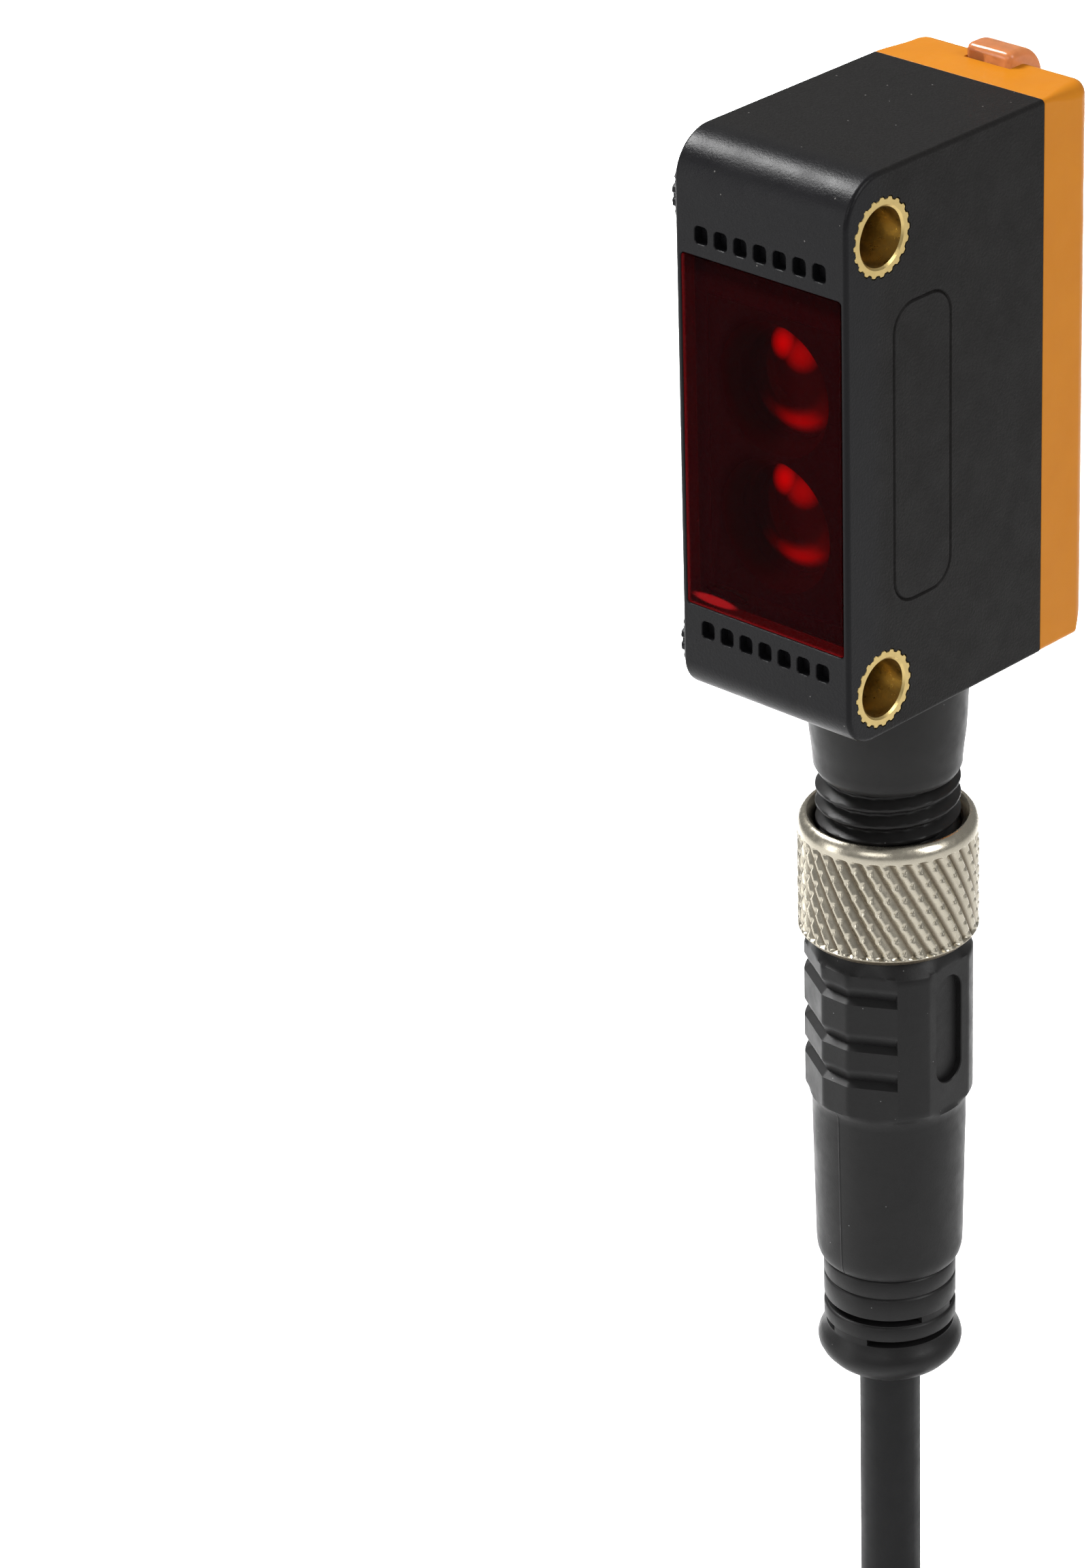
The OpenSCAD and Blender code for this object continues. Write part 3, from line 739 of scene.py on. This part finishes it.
def rear_cover():
    """Orange cap: an outer and an inner skin joined at the rim, with a slot for the light pipe."""
    outer = cover_rings(0.0, RIM_Y + 0.06)
    lip = [(x * 0.991, RIM_Y, z * 0.996) for x, y, z in outer[0]]
    inner = cover_rings(WALL, RIM_Y)
    vertices, faces = skin([lip] + outer)
    inner_vertices, inner_faces = skin(inner)
    n, count = len(lip), len(vertices)
    open_end = tuple(range(n - 1, -1, -1))
    faces.remove(open_end)
    inner_faces.remove(open_end)
    faces += [tuple(count + k for k in face) for face in inner_faces]
    faces += [(k, (k + 1) % n, count + (k + 1) % n, count + k) for k in range(n)]
    obj = solid("rear_cover_shell", (vertices + inner_vertices, faces))
    gap = 0.03
    slot = rounded_box((PIPE_HIGH.x - PIPE_LOW.x) / 2 + gap, 3, 0.12, 3, (0, PIPE_LOW.z - gap + 3))
    cut(obj, [slab(slot, PIPE_LOW.y - gap, 20, place=along_y)])
    settle(obj, orange_plastic(), "sensor", ["rear_cover"], 30)


def indicator_pipe():
    """Arch that comes through the cover's upper rear edge and stands proud of it, rounded like a pillow."""
    outer_r, soft = COVER_R + PIPE_PROUD, 0.42
    front, back, foot, top = PIPE_LOW.y, PIPE_HIGH.y, PIPE_LOW.z, PIPE_HIGH.z
    inner_y, inner_z = BACK_Y - WALL, TOP - WALL
    outline = [(inner_y, foot)] + arc((back - soft, foot + soft), soft, -90, 0, 5)
    outline += arc((back - outer_r, top - outer_r), outer_r, 0, 90, 20)[:-1]
    outline += arc((front + soft, top - soft), soft, 90, 180, 5)
    outline += [(front, inner_z)] + arc((inner_y - 0.2, inner_z - 0.2), 0.2, 90, 0, 4)
    obj = solid("light_pipe_arch", slab(outline, PIPE_LOW.x, PIPE_HIGH.x, 0.4, 7))
    settle(obj, light_pipe(), "sensor", ["indicator_lens"], 40)


# ---- window and lenses
def window():
    outline = front_outline(WINDOW_LOW, WINDOW_HIGH, 0.2, 4)
    obj = solid("window_pane", slab(outline, WINDOW_LOW.y + 0.02, WINDOW_HIGH.y, 0.05, 3, along_y))
    settle(obj, red_window(), "sensor", ["front_window"], 40)


def lens(node, name):
    """Domed lens with a flat moulded rim, its crown towards the window."""
    low, high = box_mm(node)
    middle_z, radius = (low.z + high.z) / 2, high.x
    back, depth = high.y, high.y - low.y
    crown = 2.75
    profile = [(0.02, -depth)]
    profile += [(crown * i / 14, -depth + (depth - 0.5) * (i / 14) ** 2) for i in range(1, 15)]
    profile += [(crown + 0.05, -0.46), (radius - 0.05, -0.46), (radius, -0.41), (radius, -0.05),
                (radius - 0.05, 0.0), (0.02, 0.0)]
    rings = turned(profile, 72, (0, 0), lambda x, y, z: (x, back + z, middle_z + y))
    obj = solid(name, skin(rings))
    settle(obj, lens_glass(name, middle_z), "sensor", [node], 40)


# ---- bushings
def bushings():
    """Knurled brass inserts with an M3 thread, flush on +X and raised on -X."""
    rim = teeth(BUSHING_TEETH, BUSHING_TOOTH, 0.5)
    left, right, outer, entry = BOSS_X, HALF_W, BUSHING_R, BUSHING_ENTRY_R
    pitch, depth, chamfer = 0.5, 0.16, 0.12
    low, high = left + BUSHING_ENTRY, right - BUSHING_ENTRY
    helix = thread(pitch, -depth, low, high)
    steps = int((high - low) / pitch * 8)
    outline = [(entry + chamfer, left), (outer - 0.16, left), (outer - 0.03, left + 0.1, rim),
               (outer, left + 0.2, rim), (outer, right - 0.08, rim), (outer - 0.06, right - 0.01, rim),
               (entry + chamfer, right - 0.01), (entry, right - chamfer), (entry, high + 0.15)]
    outline += [(BUSHING_CORE_R, high - (high - low) * i / steps, helix) for i in range(steps + 1)]
    outline += [(entry, low - 0.15), (entry, left + chamfer)]
    skins = [skin(turned(outline, 120, (0, z), along_x_turn), loop=True) for z in (BUSHING_Z, -BUSHING_Z)]
    obj = solid("bushing_inserts", *skins)

    # Painted shade: darker further into the threaded bore, none on the outside.
    def bore_shade(point):
        r = hypot(point.y, abs(point.z) - BUSHING_Z)
        inside = min(point.x - left, right - point.x)
        return min(0.9, 0.25 + 0.16 * inside) if r < entry + 0.05 and inside > 0.2 else 0.0
    mark_cavity(obj, bore_shade)
    settle(obj, brass(), "sensor", ["threaded_bushings"], 30, weighted=False)


# ---- connector, nut and plug
def connector():
    """Tapered neck and male M8 thread, hollow round the pins."""
    low, high = SHELL_LOW.z + 0.25, THREAD_TOP
    helix = thread(THREAD_PITCH, 0.55, low, high)
    steps = int((high - low) / THREAD_PITCH * 20)
    outline = [(SHELL_BORE_R, SHELL_LOW.z + 0.1), (SHELL_BORE_R + 0.1, SHELL_LOW.z), (3.3, SHELL_LOW.z)]
    outline += [(THREAD_R, low + (high - low) * i / steps, helix) for i in range(steps + 1)]
    outline += [(3.42, -21.93), (3.7, -21.92), (3.86, -21.84), (3.95, -21.7), (4.1, -21.4)]
    outline += [(4.1 + 0.25 * ease((z + 21.4) / 2.8), z) for z in (-21, -20.2, -19.4, -18.6)]
    outline += [(4.42, -17), (4.49, -15.5), (4.5, BOTTOM), (4.25, BOTTOM), (4.25, BOTTOM - 0.4),
                (3.75, BOTTOM - 0.4), (3.75, BOTTOM), (SHELL_SEAT_R, BOTTOM), (SHELL_SEAT_R, SHELL_HIGH.z),
                (SHELL_BORE_R, SHELL_HIGH.z)]
    obj = solid("connector_neck", skin(turned(outline, 128, (0, PLUG_Y)), loop=True))
    black = moulded("neck_plastic", (0.0085, 0.0080, 0.0078), (0.0120, 0.0114, 0.0112), (0.36, 0.48), 0.1,
                    0.004, 2.0, specks=0.4, Specular_IOR_Level=0.3)
    settle(obj, black, "sensor", ["connector_shell"], 30)


def nut():
    """Coupling nut: a plain chamfered band above a diamond knurl."""
    top, bottom = NUT_HIGH.z, NUT_LOW.z
    knurl_top, knurl_bottom = top - 0.9, bottom + 0.42
    count, deep, shallow, lean = 34, 0.27, 0.14, 0.56
    pitch = 2 * pi * NUT_R / count

    def knurl(angle, height, radius):
        along = angle * NUT_R
        falling = saw((along + lean * height) / pitch)
        rising = saw((along - lean * height) / pitch)
        groove = max(deep * (1 - min(falling / 0.9, 1)), shallow * (1 - min(rising / 0.36, 1)))
        fade = ease((knurl_top - height) / 0.12) * ease((height - knurl_bottom) / 0.12)
        return radius - groove * fade
    steps = 110
    mouth, lip = NUT_BORE_R, bottom + 0.9
    outline = [(mouth, top - 0.45), (mouth + 0.34, top - 0.03), (mouth + 0.38, top), (NUT_R - 0.42, top),
               (NUT_R - 0.33, top - 0.04), (NUT_R - 0.17, top - 0.2), (NUT_R - 0.06, top - 0.4),
               (NUT_R, top - 0.62)]
    outline += [(NUT_R, knurl_top + 0.12 + (knurl_bottom - knurl_top - 0.16) * i / steps, knurl)
                for i in range(steps + 1)]
    outline += [(NUT_R - 0.03, bottom + 0.34), (NUT_R - 0.34, bottom + 0.03), (NUT_R - 0.42, bottom),
                (3.8, bottom), (3.75, bottom + 0.06), (3.75, lip), (mouth, lip)]
    helix = thread(THREAD_PITCH, -0.1, lip + 0.4, top - 0.5)
    steps = 72
    outline += [(mouth - 0.1, lip + 0.2 + (top - 0.7 - lip) * i / steps, helix) for i in range(steps + 1)]
    obj = solid("knurled_nut", skin(turned(outline, 408, (0, PLUG_Y)), loop=True))

    # Painted shade: the bore and the underside get high values so the material darkens them; in the knurl the
    # value is the groove's depth.
    def depth(point):
        r = hypot(point.x, point.y - PLUG_Y)
        if r < mouth + 0.36 or point.z < bottom + 0.4:
            return 0.6 if point.z > top - 0.5 else 0.95
        if knurl_bottom < point.z < knurl_top:
            return (NUT_R - r) / deep
        return 0.0
    mark_cavity(obj, depth)
    settle(obj, nickel(), "nut", ["coupling_nut"], 50, weighted=False)


def overmould():
    """Soft plug body: a faceted grip with finger steps, a tapered stem and a ringed strain relief."""
    top, bottom = PLUG_HIGH.z, PLUG_LOW.z
    # Flats of the grip: their angle from the plain side, distance from the middle and half angle.
    flats = [(0, 4.37, 21), (61, 4.463, 17.5), (90, 4.606, 11.6), (121, 4.41, 19.5)]
    flats += [(-angle, reach, half) for angle, reach, half in flats[1:]]
    ribs_from = 43.4  # degrees from the flat side at which the finger steps start
    notches = (-34.2, -37.1, -39.4)

    def grip(angle, height, radius):
        bearing = (degrees(angle) + 180) % 360 - 180
        r = radius
        if height > GRIP_END - 0.05:
            for middle, reach, half in flats:
                if abs(bearing - middle) < half:
                    r = min(r, reach / cos(radians(bearing - middle)))
        side = ease((abs(bearing) - ribs_from) / 0.7)
        for z in notches:
            if z - 0.3 < height <= z:
                r -= 0.38 * side * (height - (z - 0.3)) / 0.3
            elif z < height < z + 0.75:
                r -= 0.38 * side * (1 - (height - z) / 0.75)
        return r

    def parting(angle, height, radius):
        """A faint moulding line down the two sides."""
        bearing = degrees(angle) % 360
        near = min(abs(bearing - 90), abs(bearing - 270))
        return radius + 0.025 * max(0.0, 1 - near / 0.6)

    def slots(angle, height, radius):
        """Deep slots between the strain relief's rings, staggered from gap to gap."""
        bearing = degrees(angle) % 180
        upper = height > -56
        inside = 20 < bearing < 160 if upper else bearing < 70 or bearing > 110
        return radius - (0.75 if inside else 0.0)
    outline = [(3.57, top), (4.02, top), (4.1, top - 0.03), (4.16, top - 0.12), (4.42, top - 0.7, grip),
               (4.6, top - 0.85, grip), (GRIP_R, top - 1.0, grip)]
    marks = [top - 1.35]
    for z in notches:
        marks += [z + d for d in (0.9, 0.75, 0.6, 0.4, 0.2, 0.02, 0, -0.03, -0.15, -0.27, -0.3, -0.4)]
    outline += [(GRIP_R, z, grip) for z in marks + [-40.6, -41.2, -41.5]]
    outline += [(GRIP_R - 0.05, -41.61, grip), (4.45, -41.85, parting), (4.32, -42.1, parting),
                (4.29, -42.5, parting)]
    outline += [(4.29 - 0.16 * (-43.5 - z) / 7.9, z, parting)
                for z in (-43.5, -45.5, -47.5, -49.5, -51.0, -51.4)]
    turns = [radians(15 * i) for i in range(1, 7)]
    outline += [(4.13 - 0.43 * (1 - cos(a)), -51.4 - 1.1 * sin(a), parting) for a in turns]
    for low, high in ((-53.65, -52.62), (-55.1, -53.8), (-56.5, -55.65)):
        outline += [(3.62, high + 0.06), (3.7, high), (3.74, high - 0.08), (3.74, low + 0.08), (3.7, low),
                    (3.62, low - 0.04)]
        if low < -54:
            outline += [(3.62, low - 0.08, slots), (3.62, low - 0.4, slots), (3.62, low - 0.44)]
    outline += [(3.64, -57.05), (3.9, -57.4), (4.05, -57.75), (4.1, -58.0), (4.05, -58.3), (3.85, -58.7),
                (3.45, -59.15), (2.9, -59.55), (2.3, -59.87), (2.0, bottom), (CABLE_EXIT_R, bottom)]
    outline += [(CABLE_EXIT_R, -46.2), (2.8, -46.2), (2.8, -36.1), (3.57, -36.1)]
    angles = [radians(1.5 * k) for k in range(240)]
    extra = [s * (ribs_from + d) for s in (1, -1) for d in (-0.05, 0.35, 0.75)]
    extra += [90 * s + d for s in (1, -1) for d in (-0.6, 0.6)]
    angles += [radians(bearing) % (2 * pi) for bearing in extra]
    obj = solid("plug_grip", skin(turned(outline, sorted(angles), (0, PLUG_Y)), loop=True))
    slot = rounded_box(1.05, 3.3, 1.04, 12, (PLUG_Y, -36.7))
    cut(obj, [flared(slot, 4.37, 3.97, 0.05, along_x)])
    soft = moulded("soft_plug", (0.0085, 0.0083, 0.0085), (0.0125, 0.0122, 0.0124), (0.38, 0.50), 0.16, 0.008,
                   2.4, specks=0.6, Specular_IOR_Level=0.28)
    settle(obj, soft, "plug", ["plug_overmould"], 30)


# ---- cable, hank and cores
def run_x(column, z):
    """Distance of a strand from the hank's middle line: close together at the tie, wide at the folds."""
    tied, folded = STRAND * (0.5 + column), FOLD_R + STRAND * column
    return tied + (folded - tied) * ease((abs(z - HANK_MID) - HANK_FLAT) / (HANK_RUN / 2 - HANK_FLAT))


def cable_route():
    """Centreline: straight down out of the plug, then nine turns wound into a flat hank below it."""
    high, low = HANK_MID + HANK_RUN / 2, HANK_MID - HANK_RUN / 2
    front, back = HANK_Y - 2 * STRAND, HANK_Y + 2 * STRAND
    enter = HANK_CROWN - CABLE_LEAD
    parts = [k / ARC_STEPS for k in range(ARC_STEPS)]
    points = [(0, front, PLUG_LOW.z + (enter - PLUG_LOW.z) * k / 10) for k in range(10)]
    points += [(ease(t) * (FOLD_R + 2 * STRAND), front, enter + (low - enter) * t) for t in parts]
    places = [(2, 0), (1, 0), (0, 0), (0, 1), (1, 1), (2, 1), (2, 2), (1, 2), (0, 2)]
    before = front
    for turn, (column, layer) in enumerate(places):
        radius, y = FOLD_R + STRAND * column, HANK_Y + (layer - 1) * STRAND
        points += [(radius * cos(pi * t), before + (y - before) * ease(t),
                    low - radius * sin(pi * t)) for t in parts]
        points += [(-run_x(column, z), y, z) for z in (low + (high - low) * t for t in parts)]
        points += [(-radius * cos(pi * t), y, high + radius * sin(pi * t)) for t in parts]
        last = turn == len(places) - 1
        next_column, next_layer = (0, 3) if last else places[turn + 1]
        before = HANK_Y + (next_layer - 1) * STRAND
        for t in parts:
            z = high + (low - high) * t
            x = run_x(column + (next_column - column) * ease(t), z)
            strand_y = y + (before - y) * ease(t)
            if last:
                x = x if t < 0.5 else run_x(0, HANK_MID) * (1 - ease(2 * t - 1))
                strand_y = y + STRAND * ease(min(1, 2.2 * t))
            points.append((x, strand_y, z))
    return points + [(0, back, low - HANK_HALF_W * k / 6) for k in range(7)]


def cable(material):
    """The cable's jacket, with the place where it leaves the plug and its length, in metres."""
    route = cable_route()
    length = sum(dist(a, b) for a, b in zip(route, route[1:]))
    data = bpy.data.curves.new("cable_jacket", "CURVE")
    data.dimensions = "3D"
    data.bevel_depth = CABLE_D / 2 * MM
    data.bevel_resolution = 5
    data.use_fill_caps = True
    spline = data.splines.new("POLY")
    spline.points.add(len(route) - 1)
    for point, place in zip(spline.points, route):
        point.co = (*(c * MM for c in place), 1)
    spline.use_smooth = True
    obj = placed("cable_jacket", data)
    settle(obj, material, "plug", ["cable", "cable_hank"])
    return obj, [c * MM for c in route[0]], length * MM


def hank_tie():
    """Hook-and-loop tape round the middle of the hank, its end lapped over."""
    thick, tall = 0.9, 6.72
    inner = rounded_box(HANK_WAIST + 0.2, HANK_HALF_T + 0.05, 2.2, 8, (0, HANK_Y))
    outer = grown(inner, thick)
    profile = [(0.0, -0.5), (0.0, 0.5), (0.15, 0.52), (0.85, 0.52), (1.0, 0.5), (1.0, -0.5), (0.85, -0.52),
               (0.15, -0.52)]
    rings = []
    for (ax, ay), (bx, by) in zip(inner, outer):
        rings.append([(ax + (bx - ax) * u, ay + (by - ay) * u, HANK_MID + v * tall) for u, v in profile])
    lap_half, lap_tall, lap = 5.5, 3.2, []
    back = HANK_Y + HANK_HALF_T + 0.05 + thick
    low, high = HANK_MID - lap_tall, HANK_MID + lap_tall
    for x in (-lap_half, -lap_half + 0.2, lap_half - 0.2, lap_half):
        top = back + (0.02 if abs(x) > lap_half - 0.1 else 0.09)
        lap.append([(x, back - 0.2, low), (x, top, low), (x, top, high), (x, back - 0.2, high)])
    obj = solid("hank_strap", skin(rings, loop=True), skin(lap))
    settle(obj, woven_tie(), "plug", ["hank_tie"], 35)
    return obj


def cores():
    """Four coloured cores fanned out of the jacket, each with a stripped and tinned end."""
    start_z = HANK_MID - HANK_RUN / 2 - HANK_HALF_W - 0.1
    tints = {"brown": ((0.125, 0.042, 0.017), -1, -1, 9), "white": ((0.74, 0.72, 0.68), -1, 1, 3),
             "blue": ((0.028, 0.105, 0.31), 1, 1, -3), "black": ((0.012, 0.012, 0.013), 1, -1, -9)}
    tinned = moulded("tinned_strands", (0.52, 0.50, 0.47), (0.68, 0.66, 0.62), (0.25, 0.4), 0.1, cloud=0.4,
                     Metallic=1.0)
    round_steps = 32

    def twist(a, z, r):
        return r * (0.92 + 0.08 * cos(7 * (a - 1.1 * z)))
    strands = [(0.03, -CORE_LENGTH + 0.02)]
    strands += [(0.43, -CORE_LENGTH + 0.15 + (CORE_BARE - 0.05) * i / 24, twist) for i in range(25)]
    cover = [(CORE_R - 0.08, -CORE_LENGTH + CORE_BARE), (CORE_R, -CORE_LENGTH + CORE_BARE + 0.08),
             (CORE_R, -12.0), (CORE_R, -0.05), (CORE_R - 0.08, 0.0)]
    cover_faces = (len(cover) - 1) * round_steps + 2
    made = []
    for name, (tint, side_x, side_y, lean) in tints.items():
        place = (Matrix.Translation((side_x * 0.65, HANK_Y + 2 * STRAND + side_y * 0.65, start_z))
                 @ Matrix.Rotation(radians(lean), 4, "Y"))

        def turn(x, y, z):
            return tuple(place @ Vector((x, y, z)))
        obj = solid("core_" + name + "_wire", skin(turned(cover, round_steps, turn=turn)),
                    skin(turned(strands, 56, turn=turn)))
        light = tuple(min(1, c * 1.25 + 0.004) for c in tint)
        settle(obj, moulded("core_" + name, tint, light, (0.35, 0.5), 0.1, 0.004, 0.8), "plug",
               ["core_" + name], 35)
        obj.data.materials.append(tinned)
        for face in obj.data.polygons:
            face.material_index = 1 if face.index >= cover_faces else 0
        made.append(obj)
    return made


# ---- inner pieces that keep their CAD shape
def paint_cad_nodes():
    board = circuit_board()
    black = moulded("optics_black", (0.006, 0.006, 0.0065), (0.009, 0.009, 0.0095), (0.6, 0.75),
                    Specular_IOR_Level=0.1)
    chip = moulded("chip_black", (0.014, 0.014, 0.015), (0.022, 0.022, 0.023), (0.45, 0.6), 0.08)
    gold = moulded("contact_gold", (0.72, 0.50, 0.17), (0.86, 0.64, 0.26), (0.18, 0.3), 0.1, 0.002, 0.8,
                   Metallic=1.0)
    steel = moulded("spring_steel", (0.42, 0.42, 0.40), (0.55, 0.55, 0.53), (0.25, 0.4), Metallic=1.0)
    rubber = moulded("seal_rubber", (0.010, 0.010, 0.010), (0.016, 0.016, 0.016), (0.6, 0.75), 0.15)
    looks = {
        "lens_holder": black, "board_header": black, "controller_chip": chip, "driver_chip": chip,
        "receiver_chip": moulded("receiver_face", (0.05, 0.05, 0.08), (0.08, 0.08, 0.12), (0.12, 0.2)),
        "emitter_led": moulded("led_body", (0.62, 0.58, 0.48), (0.74, 0.70, 0.60), (0.2, 0.3)),
        "indicator_leds": moulded("led_cap", (0.70, 0.64, 0.44), (0.82, 0.76, 0.56), (0.25, 0.35)),
        "board_capacitors": moulded("ceramic_tan", (0.42, 0.29, 0.16), (0.52, 0.37, 0.22), (0.35, 0.5), 0.1),
        "optics_board": board, "main_board": board, "pin_board": board,
        "cover_gasket": rubber, "neck_seal": rubber, "plug_oring": rubber,
        "retaining_ring": steel,
        "pin_carrier": moulded("carrier_black", (0.018, 0.018, 0.02), (0.026, 0.026, 0.028), (0.45, 0.6)),
        "contact_pins": gold, "socket_contacts": gold,
        "contact_carrier": moulded("carrier_brown", (0.13, 0.075, 0.042), (0.18, 0.11, 0.065), (0.4, 0.55)),
        "plug_cores": moulded("core_grey", (0.24, 0.25, 0.27), (0.32, 0.33, 0.35), (0.4, 0.55)),
    }
    for node, material in looks.items():
        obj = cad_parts[node]
        paint(obj, material)
        obj.data.shade_smooth()
        obj.data.set_sharp_from_angle(angle=radians(30))


# ---- floor and lights
def panel_light(name, place, target, width, height, power, spread=180):
    data = bpy.data.lights.new(name, "AREA")
    data.shape = "RECTANGLE"
    data.size, data.size_y = width, height
    data.energy = power
    data.spread = radians(spread)
    light = placed(name, data)
    light.location = place
    light.rotation_euler = (Vector(target) - Vector(place)).to_track_quat("-Z", "Y").to_euler()


def stage():
    floor_z = cad_bounds[0][2] - 0.003
    data = bpy.data.meshes.new("floor")
    disc = bmesh.new()
    bmesh.ops.create_circle(disc, cap_ends=True, segments=96, radius=6.0)
    disc.to_mesh(data)
    disc.free()
    floor = placed("floor", data)
    floor.location.z = floor_z
    data.materials.append(pale_floor())

    middle = (0, 0.007, -0.02)
    panel_light("key", (-0.55, -0.12, 0.68), middle, 0.3, 0.3, 9.5)
    panel_light("left", (-0.5, -0.8, 0.05), middle, 0.25, 0.7, 1.7)
    panel_light("front", (0.35, -0.85, 0.45), middle, 0.5, 0.35, 1.4)
    panel_light("right", (0.85, 0.15, 0.5), middle, 0.35, 0.6, 3.9)
    panel_light("on_floor", (-0.45, 0.45, 0.25), (-0.45, 0.45, -0.3), 0.6, 0.6, 5.0, spread=80)
    world = bpy.data.worlds.new("studio")
    world.use_nodes = True
    background = world.node_tree.nodes["Background"]
    background.inputs["Color"].default_value = (1, 1, 1, 1)
    background.inputs["Strength"].default_value = 0.3
    bpy.context.scene.world = world
    bpy.context.scene.view_settings.view_transform = "Standard"


# ---- the whole scene
place_camera()
jacket = moulded("jacket_black", (0.0085, 0.0085, 0.0092), (0.0125, 0.0125, 0.0132), (0.44, 0.56), 0.2,
                 0.006, 3.0, Specular_IOR_Level=0.2)
cable_piece, cable_start, cable_length = cable(jacket)
strap = hank_tie()
wires = cores()
paint(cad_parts["cable_tail"], jacket)
paint_cad_nodes()
housing()
side_print()
rear_cover()
indicator_pipe()
window()
lens("upper_lens", "receiver_lens")
lens("lower_lens", "emitter_lens")
bushings()
connector()
nut()
overmould()
inner_nodes = ["contact_carrier", "socket_contacts", "plug_oring", "plug_cores", "cable_tail"]
on_cord = [strap, *wires, bpy.data.objects["plug_grip"], bpy.data.objects["knurled_nut"]]
on_cord += [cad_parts[name] for name in inner_nodes]
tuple(cable_start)
stage()
